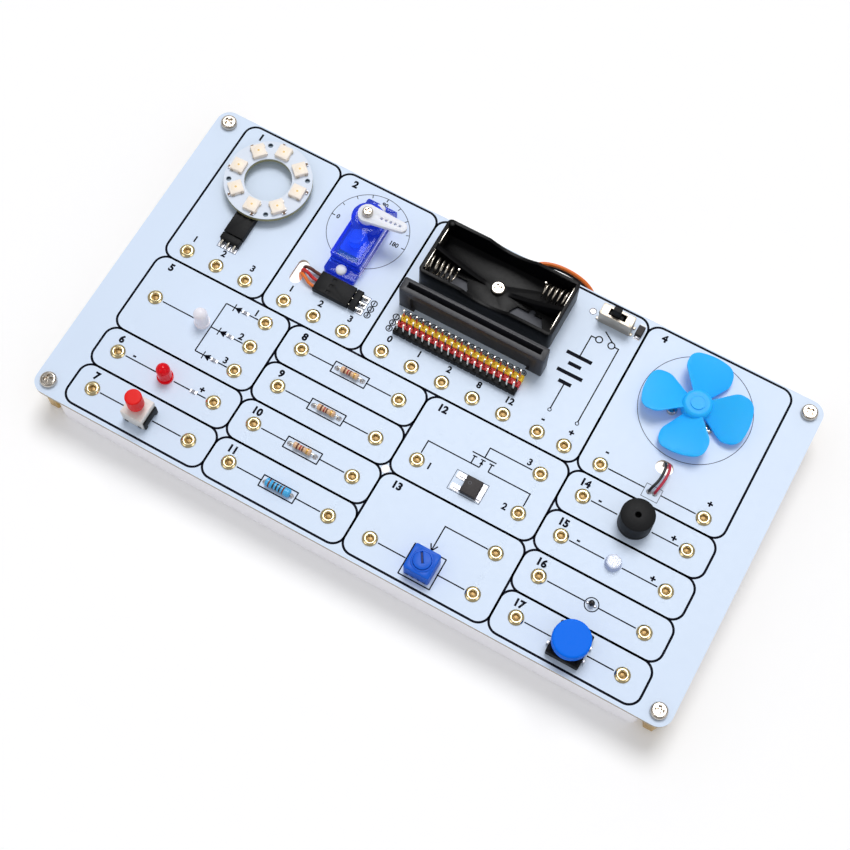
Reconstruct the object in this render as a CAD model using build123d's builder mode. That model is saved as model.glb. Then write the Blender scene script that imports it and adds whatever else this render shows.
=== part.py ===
from build123d import *
import math
import os

# Microcontroller experiment kit: one printed board on a moulded tray, with a small circuit in each printed frame.
# Frame: x along the long side, y from the near edge to the back edge, z up from the table.
# The origin is under the board's centre, on the table. All lengths are in millimetres.

os.makedirs("parts", exist_ok=True)

# Clearances
fit_gap = 0.05
slide_gap = 0.3

# Board
board_length = 244.0
board_width = 128.0
board_thickness = 1.6
board_corner_radius = 5.0

# Tray
tray_end_gap = 9.0
tray_edge_gap = 0.1
tray_bow = 0.8
tray_wall = 2.0
tray_floor = 1.5
tray_corner_radius = 3.0
tray_bottom_radius = 2.0
floor_gap = 0.2
post_radius = 3.0
post_pin_radius = 1.5
lead_notch_width = 10.0
lead_notch_depth = 10.0
lead_notch_shift = 33.5

# Corner feet
corner_inset = 5.0
corner_hole_radius = 1.6
standoff_across_flats = 5.5
standoff_core_radius = 1.25
standoff_foot_depth = 8.0
standoff_top_depth = 6.0
screw_head_radius = 3.0
screw_head_height = 1.9
screw_core_radius = 1.3
screw_reach = 6.0

# Terminals
flange_radius = 2.7
flange_height = 0.7
barrel_radius = 1.5
terminal_bore_radius = 1.0
module_margin = 12.0
module_units = [8, 8, 17, 11]
upper_depth = 62.2
lower_margin = 1.8
first_column_inset = 19.7
terminal_pair = 38.9
top_row_rise = 5.0
top_pitch = 12.0
servo_terminal_shift = -12.33
signal_terminal_shift = -35.27
power_terminal_shift = 26.04
power_terminal_pair = 10.33
diode_row_pitch = 10.4

# LED ring
ring_shift = -0.8
ring_inset = 20.0
ring_outer_radius = 16.1
ring_inner_radius = 8.6
ring_thickness = 1.6
ring_hole_radius = 1.0
ring_hole_circle = 14.2
ring_hole_angle = 27.5
ring_led_count = 8
ring_led_circle = 12.0
ring_led_angle = 2.4
ring_led_size = 5.0
ring_led_height = 1.6
ring_lens_radius = 2.0
ring_lens_depth = 0.4
ring_capacitor_gap = 0.25
ring_capacitor_length = 1.4
ring_capacitor_width = 0.7
ring_capacitor_height = 0.6
ring_capacitor_turn = 6.0

# Three-way plugs and right-angle headers
pin_pitch = 2.54
pin_size = 0.64
plug_length = 14.0
plug_side_wall = 0.08
plug_bore = 0.74
plug_bore_depth = 6.5
plug_window = 1.3
plug_window_depth = 0.35
plug_window_place = 8.5
header_gap = 0.4
elbow_reach = 1.6
ring_plug_shift = -0.6
ring_plug_inset = 37.6
servo_plug_shift = 1.5
servo_plug_inset = 45.0

# Servo
servo_axis_back = 18.6
servo_length = 22.8
servo_width = 12.2
servo_axis_inset = 6.0
servo_drop = 15.9
servo_bottom_height = 4.2
ear_length = 4.7
ear_thickness = 2.5
ear_screw_inset = 2.45
ear_screw_radius = 0.95
ear_screw_head_radius = 2.0
ear_screw_head_height = 1.6
ear_screw_reach = 6.0
servo_edge_radius = 0.8
cover_height = 4.1
boss_radius = 5.9
boss_height = 4.2
second_boss_radius = 2.7
second_boss_offset = 8.8
servo_shaft_radius = 2.4
servo_shaft_depth = 2.8
servo_shaft_top = 2.2
horn_gap = 0.3
horn_hub_radius = 3.5
horn_hub_height = 2.8
horn_arm_thickness = 1.6
horn_arm_length = 15.0
horn_root_width = 7.0
horn_tip_radius = 2.0
horn_hole_radius = 0.5
horn_hole_count = 5
horn_hole_first = 5.4
horn_hole_pitch = 1.75
horn_angle = 4.5
horn_screw_radius = 0.9
horn_screw_head_radius = 2.0
horn_screw_head_height = 1.7
horn_screw_reach = 4.0
servo_slot_shift = -13.4
servo_slot_inset = 44.45
servo_slot_width = 4.2
servo_slot_length = 9.9
servo_lead_diameter = 1.2
servo_lead_pitch = 1.3

# Battery holder for two cells
holder_shift = -11.0
holder_inset = 16.4
holder_length = 52.2
holder_width = 23.4
holder_height = 11.0
holder_wall = 1.2
holder_floor = 1.2
holder_corner_radius = 1.6
scoop_length = 19.0
scoop_depth = 2.2
rib_thickness = 1.6
rib_height = 9.4
rib_sag = 0.7
rib_gap = 8.0
window_length = 13.2
window_taper = 1.8
window_shoulder = 3.0
window_width = 6.8
window_offset = 14.9
window_shift = -0.9
window_y_gap = 1.2
cell_hole_radius = 1.2
cell_hole_shift = (14.8, -2.0)
plate_size = 8.0
plate_thickness = 0.4
spring_wire = 0.6
spring_turns = 5
spring_pitch = 1.9
spring_base_radius = 3.6
spring_tip_radius = 2.6
holder_screw_radius = 1.45
holder_screw_head_radius = 2.6
holder_screw_head_height = 1.3
holder_screw_reach = 9.0
battery_lead_diameter = 1.4

# Edge connector and header strips
connector_shift = -10.7
connector_share = 0.5756
connector_length = 56.4
connector_width = 5.2
connector_height = 12.8
slot_end_wall = 2.05
slot_width = 2.2
slot_depth = 8.5
slot_y_shift = 0.3
lip_height = 3.2
lip_overhang = 1.1
post_width = 4.6
contact_count = 20
contact_width = 0.9
contact_thickness = 0.25
contact_height = 3.5
strip_shift = -11.15
strip_share = 0.733
strip_columns = 19
strip_height = 2.5
strip_notch = 0.45
strip_pin_top = 8.5
strip_gap = 0.04

# Slide switch and diode
switch_shift = 31.1
switch_inset = 7.3
switch_length = 12.4
switch_width = 4.6
switch_height = 6.6
switch_sheet = 0.4
switch_base_height = 3.2
switch_window_length = 6.4
switch_window_width = 2.6
knob_length = 3.0
knob_width = 2.0
knob_top = 10.5
knob_flange_length = 5.6
knob_flange_height = 2.2
knob_offset = -0.5
diode_shift = 40.1
diode_inset = 6.4
diode_width = 2.5
diode_length = 3.9
diode_height = 2.0
diode_end = 0.75
diode_end_width = 1.7
diode_end_height = 0.5
sensor_hole_shift = 22.1
sensor_hole_inset = 7.0
sensor_hole_radius = 1.0

# Fan
fan_shift = -0.4
fan_inset = 23.2
motor_radius = 12.2
motor_thickness = 12.3
motor_rim_radius = 1.5
motor_boss_radius = 3.0
motor_boss_height = 1.4
motor_shaft_radius = 1.0
motor_shaft_depth = 6.0
motor_screw_circle = 8.0
motor_screw_angle = 90.0
motor_screw_radius = 0.95
motor_screw_head_radius = 1.9
motor_screw_head_height = 1.2
motor_screw_reach = 4.0
motor_tab_width = 9.0
motor_tab_height = 3.0
motor_tab_reach = 1.2
hub_radius = 5.3
hub_bottom = 1.6
hub_height = 5.0
hub_bore_depth = 3.6
blade_count = 4
blade_tip_radius = 19.2
blade_mid_height = 4.2
blade_thickness = 0.9
blade_root_pitch = 24.0
blade_tip_pitch = 8.0
blade_root_width = 4.6
blade_width = 17.2
blade_shoulder = 12.0
blade_shoulder_radius = 5.0
blade_corner_radius = 4.2
blade_angle = 6.0
fan_slot_shift = 0.15
fan_slot_inset = 47.45
fan_slot_width = 6.3
fan_slot_length = 4.9
fan_lead_diameter = 1.0

# Right-hand column
buzzer_radius = 5.9
buzzer_height = 9.5
buzzer_hole_radius = 1.0
buzzer_hole_depth = 3.0
buzzer_edge = 0.4
photocell_radius = 2.5
photocell_height = 5.0
bead_radius = 1.1
bead_height = 1.7
bead_leg_radius = 0.25
bead_leg_spread = 0.75
tact_size = 12.0
tact_height = 3.6
tact_corner = 0.6
tact_leg_width = 1.0
tact_leg_reach = 0.9
tact_leg_height = 1.6
tact_leg_spread = 5.0
plunger_radius = 3.4
plunger_top = 5.4
plunger_floor = 0.8
plunger_lift = 0.7
plunger_post = 3.8
cap_radius = 6.5
cap_bottom = 6.8
cap_top = 10.8
cap_wall = 1.1
cap_edge_radius = 0.8
cap_rim_depth = 2.0

# Left-hand column
lock_size = 8.5
lock_height = 7.0
lock_well_floor = 1.0
lock_travel_room = 2.7
lock_stem_radius = 1.6
lock_cap_radius = 2.95
lock_cap_bottom = 9.4
lock_cap_top = 16.0
lock_cap_edge = 0.5
lock_frame_thickness = 0.7
lock_frame_height = 4.7
lock_frame_width = 7.6
lock_foot_width = 1.4
lock_foot_gap = 1.2
led_radius = 2.5
led_flange_radius = 2.9
led_flange_height = 1.0
led_height = 8.6
led_flat = 0.4
chip_length = 2.0
chip_width = 1.25
chip_height = 0.55
chip_shift = 11.35

# Middle columns
lead_span = 10.16
lead_wire_radius = 0.27
resistor_height = 1.5
tan_radius = 1.15
tan_length = 6.9
blue_radius = 1.5
blue_length = 9.6
resistor_cap_share = 0.22
resistor_waist = 0.15
mosfet_shift = 1.55
mosfet_body_length = 6.1
mosfet_body_width = 6.6
mosfet_body_height = 2.3
mosfet_lead_reach = 3.4
mosfet_lead_width = 0.8
mosfet_lead_pitch = 4.57
mosfet_lead_thickness = 0.5
mosfet_tab_reach = 1.4
mosfet_tab_width = 5.3
trimmer_shift = 0.4
trimmer_drop = 0.05
trimmer_size = 9.5
trimmer_height = 7.0
trimmer_corner = 0.5
rotor_radius = 3.1
rotor_top = 7.8
rotor_floor = 3.2
rotor_slot_width = 0.8
rotor_slot_depth = 1.2
rotor_slot_length = 4.4
rotor_slot_angle = 122.0

# Derived heights and places
tray_depth = tray_floor + floor_gap + servo_drop - board_thickness
board_top = tray_depth + board_thickness
deck = Plane.XY.offset(board_top)
left_edge = -board_length / 2
back_edge = board_width / 2
corner_x = board_length / 2 - corner_inset
corner_y = back_edge - corner_inset
corner_places = [(sx * corner_x, sy * corner_y) for sx in (-1, 1) for sy in (-1, 1)]
tray_length = board_length - 2 * tray_end_gap

# The modules: an upper band of four, and four rows of four columns below it
module_length = board_length - 2 * module_margin
module_unit = module_length / sum(module_units)
module_lines = [left_edge + module_margin + module_unit * sum(module_units[:i]) for i in range(5)]
ring_module, servo_module, signal_module, fan_module = [
    (left + right) / 2 for left, right in zip(module_lines, module_lines[1:])
]
column_pitch = module_length / 4
column_x = [left_edge + first_column_inset + i * column_pitch for i in range(4)]
middle_x = [x + terminal_pair / 2 for x in column_x]
band_y = back_edge - upper_depth
row_pitch = (board_width - upper_depth - lower_margin) / 4
row_y = [band_y - (i + 0.5) * row_pitch for i in range(4)]
top_row_y = band_y + top_row_rise
post_y = band_y - 2 * row_pitch

# Places of the parts in the modules
servo_x = servo_module
servo_axis_y = back_edge - servo_axis_back
servo_slot_x = servo_x + servo_slot_shift
servo_slot_y = back_edge - servo_slot_inset
ring_x = ring_module + ring_shift
ring_y = back_edge - ring_inset
ring_plug_x = ring_module + ring_plug_shift
ring_plug_y = back_edge - ring_plug_inset
servo_plug_x = servo_x + servo_plug_shift
servo_plug_y = back_edge - servo_plug_inset
holder_x = signal_module + holder_shift
holder_y = back_edge - holder_inset
lead_notch_x = holder_x + lead_notch_shift
connector_x = signal_module + connector_shift
connector_y = back_edge - connector_share * upper_depth
strip_x = signal_module + strip_shift
strip_y = back_edge - strip_share * upper_depth
switch_x = signal_module + switch_shift
switch_y = back_edge - switch_inset
diode_x = signal_module + diode_shift
diode_y = back_edge - diode_inset
sensor_hole_x = signal_module + sensor_hole_shift
sensor_hole_y = back_edge - sensor_hole_inset
fan_x = fan_module + fan_shift
fan_y = back_edge - fan_inset
fan_slot_x = fan_x + fan_slot_shift
fan_slot_y = back_edge - fan_slot_inset
chip_x = middle_x[0] + chip_shift
mosfet_x = middle_x[2] + mosfet_shift
trimmer_x = middle_x[2] + trimmer_shift
trimmer_y = row_y[3] - trimmer_drop
diode_rows = [(row_y[0] + row_y[1]) / 2 + i * diode_row_pitch for i in (1, 0, -1)]
upright = (Align.CENTER, Align.CENTER, Align.MIN)


def both_ends(column, rows):
    """Terminal places at the left and right of a column, for each row named."""
    return [(x, y) for y in rows for x in (column_x[column], column_x[column] + terminal_pair)]


terminal_places = [(column_x[0] + i * top_pitch, top_row_y) for i in range(3)]
servo_terminal_x = servo_module + servo_terminal_shift
terminal_places += [(servo_terminal_x + i * top_pitch, top_row_y) for i in range(3)]
signal_terminal_x = signal_module + signal_terminal_shift
terminal_places += [(signal_terminal_x + i * top_pitch, top_row_y) for i in range(5)]
power_terminal_x = signal_module + power_terminal_shift
terminal_places += [(power_terminal_x + i * power_terminal_pair, top_row_y) for i in range(2)]
terminal_places += [(column_x[3], top_row_y), (column_x[3] + terminal_pair, top_row_y)]
terminal_places += [(column_x[0], diode_rows[1])]
terminal_places += [(column_x[0] + terminal_pair, y) for y in diode_rows]
terminal_places += both_ends(0, row_y[2:])
terminal_places += both_ends(1, row_y)
terminal_places += both_ends(2, [row_y[1], row_y[3]])
terminal_places += [(column_x[2] + terminal_pair, row_y[0]), (column_x[2] + terminal_pair, row_y[2])]
terminal_places += both_ends(3, row_y)

servo_far_y = servo_axis_y + servo_axis_inset
servo_near_y = servo_far_y - servo_length
servo_mid_y = (servo_far_y + servo_near_y) / 2
ear_screw_y = [servo_near_y - ear_screw_inset, servo_far_y + ear_screw_inset]
motor_screw_places = [
    (
        fan_x + motor_screw_circle * math.cos(math.radians(motor_screw_angle + turn)),
        fan_y + motor_screw_circle * math.sin(math.radians(motor_screw_angle + turn)),
    )
    for turn in (0, 120, 240)
]

# Main board
with BuildPart() as main_board:
    with BuildSketch(Plane.XY.offset(tray_depth)):
        RectangleRounded(board_length, board_width, board_corner_radius)
        with Locations(*corner_places):
            Circle(corner_hole_radius, mode=Mode.SUBTRACT)
        with Locations(*terminal_places):
            Circle(barrel_radius + fit_gap, mode=Mode.SUBTRACT)
        with Locations((servo_x, servo_mid_y)):
            Rectangle(servo_width + 2 * slide_gap, servo_length + 2 * slide_gap, mode=Mode.SUBTRACT)
        with Locations(*[(servo_x, y) for y in ear_screw_y]):
            Circle(ear_screw_radius + fit_gap, mode=Mode.SUBTRACT)
        with Locations((servo_slot_x, servo_slot_y)):
            SlotOverall(servo_slot_length, servo_slot_width, rotation=90, mode=Mode.SUBTRACT)
        with Locations((fan_slot_x, fan_slot_y)):
            SlotOverall(fan_slot_width, fan_slot_length, mode=Mode.SUBTRACT)
        with Locations((fan_x, fan_y)):
            Circle(motor_boss_radius + fit_gap, mode=Mode.SUBTRACT)
        with Locations(*motor_screw_places):
            Circle(motor_screw_radius + fit_gap, mode=Mode.SUBTRACT)
        with Locations((0, post_y)):
            Circle(post_pin_radius + fit_gap, mode=Mode.SUBTRACT)
        with Locations((holder_x, holder_y)):
            Circle(holder_screw_radius + fit_gap, mode=Mode.SUBTRACT)
        with Locations((sensor_hole_x, sensor_hole_y)):
            Circle(sensor_hole_radius, mode=Mode.SUBTRACT)
    extrude(amount=board_thickness)
main_board.part.label = "main_board"
export_step(main_board.part, "parts/main_board.step")


def tray_plan(inset, height):
    """The tray's outline at a height: straight ends, long sides that bow outwards to the middle."""
    end_x = tray_length / 2 - inset
    side_y = board_width / 2 - tray_edge_gap - inset
    corner_y_inset = side_y - tray_bow
    with BuildSketch(Plane.XY.offset(height)) as plan:
        with BuildLine():
            ThreePointArc((-end_x, corner_y_inset), (0, side_y), (end_x, corner_y_inset))
            Line((end_x, corner_y_inset), (end_x, -corner_y_inset))
            ThreePointArc((end_x, -corner_y_inset), (0, -side_y), (-end_x, -corner_y_inset))
            Line((-end_x, -corner_y_inset), (-end_x, corner_y_inset))
        make_face()
        fillet(plan.vertices(), tray_corner_radius - inset / 2)
    return plan.sketch


# Base tray
with BuildPart() as base_tray:
    extrude(tray_plan(0, 0), amount=tray_depth)
    fillet(base_tray.faces().sort_by(Axis.Z)[0].edges(), tray_bottom_radius)
    extrude(tray_plan(tray_wall, tray_floor), amount=tray_depth, mode=Mode.SUBTRACT)
    with BuildSketch(Plane.XY.offset(tray_floor)):
        with Locations((0, post_y), (holder_x, holder_y)):
            Circle(post_radius)
    extrude(amount=tray_depth - tray_floor)
    with BuildSketch(Plane.XY.offset(tray_depth)):
        with Locations((0, post_y)):
            Circle(post_pin_radius)
    extrude(amount=board_thickness)
    with BuildSketch(Plane.XY.offset(tray_depth)):
        with Locations((holder_x, holder_y)):
            Circle(holder_screw_radius + fit_gap)
    extrude(amount=-holder_screw_reach, mode=Mode.SUBTRACT)
    with BuildSketch(Plane.XZ.offset(-board_width / 2)):
        with Locations((lead_notch_x, tray_depth)):
            Rectangle(lead_notch_width, 2 * lead_notch_depth)
    extrude(amount=2 * tray_wall, mode=Mode.SUBTRACT)
base_tray.part.label = "base_tray"
export_step(base_tray.part, "parts/base_tray.step")

# Standoffs at the corners, threaded from both ends and drawn at the core of the thread
with BuildPart() as standoffs:
    with BuildSketch():
        with Locations(*corner_places):
            RegularPolygon(standoff_across_flats / 2, 6, major_radius=False)
    extrude(amount=tray_depth)
    with BuildSketch():
        with Locations(*corner_places):
            Circle(standoff_core_radius)
    extrude(amount=standoff_foot_depth, mode=Mode.SUBTRACT)
    with BuildSketch(Plane.XY.offset(tray_depth)):
        with Locations(*corner_places):
            Circle(screw_core_radius + fit_gap)
    extrude(amount=-standoff_top_depth, mode=Mode.SUBTRACT)
standoffs.part.label = "standoffs"
export_step(standoffs.part, "parts/standoffs.step")

# Corner screws
with BuildPart() as corner_screws:
    with BuildSketch(deck):
        with Locations(*corner_places):
            Circle(screw_head_radius)
    extrude(amount=screw_head_height)
    fillet(corner_screws.faces().group_by(Axis.Z)[-1].edges(), screw_head_height * 0.55)
    with BuildSketch(deck):
        with Locations(*corner_places):
            Circle(screw_core_radius)
    extrude(amount=-screw_reach)
corner_screws.part.label = "corner_screws"
export_step(corner_screws.part, "parts/corner_screws.step")

# Terminals: flanged brass eyelets pressed into the board
with BuildPart() as terminal_sockets:
    with BuildSketch(Plane.XY.offset(tray_depth)):
        with Locations(*terminal_places):
            Circle(barrel_radius)
            Circle(terminal_bore_radius, mode=Mode.SUBTRACT)
    extrude(amount=board_thickness)
    with BuildSketch(deck):
        with Locations(*terminal_places):
            Circle(flange_radius)
            Circle(terminal_bore_radius, mode=Mode.SUBTRACT)
    extrude(amount=flange_height)
terminal_sockets.part.label = "terminal_sockets"
export_step(terminal_sockets.part, "parts/terminal_sockets.step")

# LED ring: ring board on its lead's plug, eight square LEDs and a capacitor beside each
ring_base = board_top + pin_pitch
ring_top = ring_base + ring_thickness
led_outer_edge = ring_led_circle + ring_led_size / 2
capacitor_circle = led_outer_edge + ring_capacitor_gap + ring_capacitor_width / 2 + 0.05
with BuildPart() as ring_board:
    with BuildSketch(Plane.XY.offset(ring_base)):
        with Locations((ring_x, ring_y)):
            Circle(ring_outer_radius)
            Circle(ring_inner_radius, mode=Mode.SUBTRACT)
            with PolarLocations(ring_hole_circle, 4, start_angle=ring_hole_angle):
                Circle(ring_hole_radius, mode=Mode.SUBTRACT)
    extrude(amount=ring_thickness)
ring_board.part.label = "ring_board"
export_step(ring_board.part, "parts/ring_board.step")

with BuildPart() as ring_leds:
    with BuildSketch(Plane.XY.offset(ring_top)):
        with Locations((ring_x, ring_y)):
            with PolarLocations(ring_led_circle, ring_led_count, start_angle=ring_led_angle):
                Rectangle(ring_led_size, ring_led_size)
    extrude(amount=ring_led_height)
    with BuildSketch(Plane.XY.offset(ring_top + ring_led_height)):
        with Locations((ring_x, ring_y)):
            with PolarLocations(ring_led_circle, ring_led_count, start_angle=ring_led_angle):
                Circle(ring_lens_radius)
    extrude(amount=-ring_lens_depth, mode=Mode.SUBTRACT)
ring_leds.part.label = "ring_leds"
export_step(ring_leds.part, "parts/ring_leds.step")

with BuildPart() as ring_capacitors:
    with BuildSketch(Plane.XY.offset(ring_top)):
        with Locations((ring_x, ring_y)):
            with PolarLocations(
                capacitor_circle, ring_led_count, start_angle=ring_led_angle + ring_capacitor_turn
            ):
                Rectangle(ring_capacitor_width, ring_capacitor_length)
    extrude(amount=ring_capacitor_height)
ring_capacitors.part.label = "ring_capacitors"
export_step(ring_capacitors.part, "parts/ring_capacitors.step")

# Two three-way plugs, each lying flat on the board with its pin holes towards a right-angle header.
# In a plug's own frame the pin holes are at its +x end.
plug_width = 3 * pin_pitch + 2 * plug_side_wall
plug_places = [
    Location((ring_plug_x, ring_plug_y, board_top), (0, 0, -90)),
    Location((servo_plug_x, servo_plug_y, board_top), (0, 0, 0)),
]
three_ways = [-pin_pitch, 0, pin_pitch]
header_start = plug_length / 2 + header_gap
elbow_x = header_start + pin_pitch + elbow_reach
with BuildPart() as plug_housings:
    with Locations(*plug_places):
        Box(plug_length, plug_width, pin_pitch, align=upright)
        with Locations(*[(plug_length / 2 - plug_bore_depth / 2, y, pin_pitch / 2) for y in three_ways]):
            Box(plug_bore_depth, plug_bore, plug_bore, mode=Mode.SUBTRACT)
        with Locations(*[(plug_length / 2 - plug_window_place, y, pin_pitch) for y in three_ways]):
            Box(plug_window, plug_window, 2 * plug_window_depth, mode=Mode.SUBTRACT)
plug_housings.part.label = "plug_housings"
export_step(plug_housings.part, "parts/plug_housings.step")

with BuildPart() as angle_headers:
    with Locations(*plug_places):
        with Locations((header_start + pin_pitch / 2, 0, 0)):
            Box(pin_pitch, 3 * pin_pitch, pin_pitch, align=upright)
        with Locations(*[(header_start + pin_pitch / 2, y, pin_pitch / 2) for y in three_ways]):
            Box(pin_pitch, plug_bore, plug_bore, mode=Mode.SUBTRACT)
angle_headers.part.label = "angle_headers"
export_step(angle_headers.part, "parts/angle_headers.step")

pin_start = plug_length / 2 - plug_bore_depth + slide_gap
with BuildPart() as angle_header_pins:
    with Locations(*plug_places):
        pin_end = elbow_x + pin_size / 2
        with Locations(*[((pin_start + pin_end) / 2, y, pin_pitch / 2) for y in three_ways]):
            Box(pin_end - pin_start, pin_size, pin_size)
        with Locations(*[(elbow_x, y, 0) for y in three_ways]):
            Box(pin_size, pin_size, pin_pitch / 2, align=upright)
angle_header_pins.part.label = "angle_header_pins"
export_step(angle_header_pins.part, "parts/angle_header_pins.step")

# Servo: bottom cover, case with ears, top cover with the gearbox bosses, output shaft, arm and screws
servo_bottom = board_top - servo_drop
case_bottom = servo_bottom + servo_bottom_height
case_top = board_top + ear_thickness
cover_top = case_top + cover_height
boss_top = cover_top + boss_height
shaft_bottom = boss_top - servo_shaft_depth


def servo_block(bottom, top):
    """One slice of the servo's body, with its upright edges rounded."""
    with BuildPart() as block:
        with BuildSketch(Plane.XY.offset(bottom)):
            with Locations((servo_x, servo_mid_y)):
                RectangleRounded(servo_width, servo_length, servo_edge_radius)
        extrude(amount=top - bottom)
    return block.part


with BuildPart() as servo_bottom_cover:
    add(servo_block(servo_bottom, case_bottom))
    fillet(servo_bottom_cover.faces().sort_by(Axis.Z)[0].edges(), servo_edge_radius / 2)
servo_bottom_cover.part.label = "servo_bottom_cover"
export_step(servo_bottom_cover.part, "parts/servo_bottom_cover.step")

with BuildPart() as servo_case:
    add(servo_block(case_bottom, case_top))
    with BuildSketch(deck):
        with Locations((servo_x, servo_mid_y)):
            RectangleRounded(servo_width, servo_length + 2 * ear_length, servo_edge_radius)
        with Locations(*[(servo_x, y) for y in ear_screw_y]):
            Circle(ear_screw_radius + fit_gap, mode=Mode.SUBTRACT)
    extrude(amount=ear_thickness)
servo_case.part.label = "servo_case"
export_step(servo_case.part, "parts/servo_case.step")

with BuildPart() as servo_top_cover:
    add(servo_block(case_top, cover_top))
    fillet(servo_top_cover.faces().sort_by(Axis.Z)[-1].edges(), servo_edge_radius / 2)
    with BuildSketch(Plane.XY.offset(cover_top)):
        with Locations((servo_x, servo_axis_y)):
            Circle(boss_radius)
        with Locations((servo_x, servo_axis_y - second_boss_offset)):
            Circle(second_boss_radius)
        with Locations((servo_x, servo_axis_y - second_boss_offset / 2)):
            Rectangle(2 * second_boss_radius, second_boss_offset)
    extrude(amount=boss_height)
    with BuildSketch(Plane.XY.offset(boss_top)):
        with Locations((servo_x, servo_axis_y)):
            Circle(servo_shaft_radius + fit_gap)
    extrude(amount=-servo_shaft_depth - slide_gap, mode=Mode.SUBTRACT)
servo_top_cover.part.label = "servo_top_cover"
export_step(servo_top_cover.part, "parts/servo_top_cover.step")

with BuildPart() as servo_ear_screws:
    with BuildSketch(Plane.XY.offset(case_top)):
        with Locations(*[(servo_x, y) for y in ear_screw_y]):
            Circle(ear_screw_head_radius)
    extrude(amount=ear_screw_head_height)
    fillet(servo_ear_screws.faces().group_by(Axis.Z)[-1].edges(), ear_screw_head_height * 0.6)
    with BuildSketch(Plane.XY.offset(case_top)):
        with Locations(*[(servo_x, y) for y in ear_screw_y]):
            Circle(ear_screw_radius)
    extrude(amount=-ear_screw_reach)
servo_ear_screws.part.label = "servo_ear_screws"
export_step(servo_ear_screws.part, "parts/servo_ear_screws.step")

with BuildPart() as servo_output_shaft:
    with BuildSketch(Plane.XY.offset(shaft_bottom)):
        with Locations((servo_x, servo_axis_y)):
            Circle(servo_shaft_radius)
    extrude(amount=servo_shaft_depth + servo_shaft_top)
    with BuildSketch(Plane.XY.offset(boss_top + servo_shaft_top)):
        with Locations((servo_x, servo_axis_y)):
            Circle(horn_screw_radius + fit_gap)
    extrude(amount=-horn_screw_reach, mode=Mode.SUBTRACT)
servo_output_shaft.part.label = "servo_output_shaft"
export_step(servo_output_shaft.part, "parts/servo_output_shaft.step")

horn_bottom = boss_top + horn_gap
horn_top = horn_bottom + horn_hub_height
horn_plane = Plane(
    origin=(servo_x, servo_axis_y, horn_top),
    x_dir=(math.cos(math.radians(horn_angle)), math.sin(math.radians(horn_angle)), 0),
    z_dir=(0, 0, 1),
)
horn_tip_centre = horn_arm_length - horn_tip_radius
with BuildPart() as servo_horn:
    with BuildSketch(horn_plane):
        Circle(horn_hub_radius)
    extrude(amount=-horn_hub_height)
    with BuildSketch(horn_plane):
        with BuildLine():
            Line((0, -horn_root_width / 2), (horn_tip_centre, -horn_tip_radius))
            ThreePointArc(
                (horn_tip_centre, -horn_tip_radius), (horn_arm_length, 0), (horn_tip_centre, horn_tip_radius)
            )
            Line((horn_tip_centre, horn_tip_radius), (0, horn_root_width / 2))
            Line((0, horn_root_width / 2), (0, -horn_root_width / 2))
        make_face()
        with Locations(*[(horn_hole_first + i * horn_hole_pitch, 0) for i in range(horn_hole_count)]):
            Circle(horn_hole_radius, mode=Mode.SUBTRACT)
    extrude(amount=-horn_arm_thickness)
    with BuildSketch(Plane.XY.offset(horn_bottom)):
        with Locations((servo_x, servo_axis_y)):
            Circle(servo_shaft_radius + fit_gap)
    extrude(amount=boss_top + servo_shaft_top + fit_gap - horn_bottom, mode=Mode.SUBTRACT)
    with BuildSketch(horn_plane):
        Circle(horn_screw_radius + fit_gap)
    extrude(amount=-horn_hub_height, mode=Mode.SUBTRACT)
servo_horn.part.label = "servo_horn"
export_step(servo_horn.part, "parts/servo_horn.step")

with BuildPart() as servo_horn_screw:
    with BuildSketch(horn_plane):
        Circle(horn_screw_head_radius)
    extrude(amount=horn_screw_head_height)
    fillet(servo_horn_screw.faces().sort_by(Axis.Z)[-1].edges(), horn_screw_head_height / 2)
    with BuildSketch(horn_plane):
        Circle(horn_screw_radius)
    extrude(amount=-horn_screw_reach)
servo_horn_screw.part.label = "servo_horn_screw"
export_step(servo_horn_screw.part, "parts/servo_horn_screw.step")

# Leads: round tubes along straight runs joined by tangent arcs
arc_share = 0.45


def route_radii(route):
    """The arc at each inner point: a share of the shorter run beside it over the tangent of half its turn."""
    radii = []
    for before, corner, after in zip(route, route[1:], route[2:]):
        run_in = Vector(*corner) - Vector(*before)
        run_out = Vector(*after) - Vector(*corner)
        half_turn = math.radians(run_in.get_angle(run_out)) / 2
        radii.append(arc_share * min(run_in.length, run_out.length) / math.tan(half_turn))
    return radii


def lead(name, route, diameter):
    """A lead of round section along its route. Prints its arcs' radii and its volume against its length."""
    radii = route_radii(route)
    with BuildPart() as tube:
        with BuildLine():
            path = FilletPolyline(*route, radius=radii)
        with BuildSketch(Plane(origin=path @ 0, z_dir=path % 0)):
            Circle(diameter / 2)
        sweep(path=path)
    expected = math.pi * diameter**2 / 4 * path.length
    print(name, "length", round(path.length, 1), "radii", [round(r, 1) for r in radii])
    print(name, "volume", round(tube.part.volume, 2), "section times length", round(expected, 2))
    return tube


# Servo leads: out of the case's near end, under the board, up through the slot and into the plug
lead_exit_height = servo_bottom + 2.9
plug_end_x = servo_plug_x - plug_length / 2
plug_middle_height = board_top + pin_pitch / 2


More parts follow.
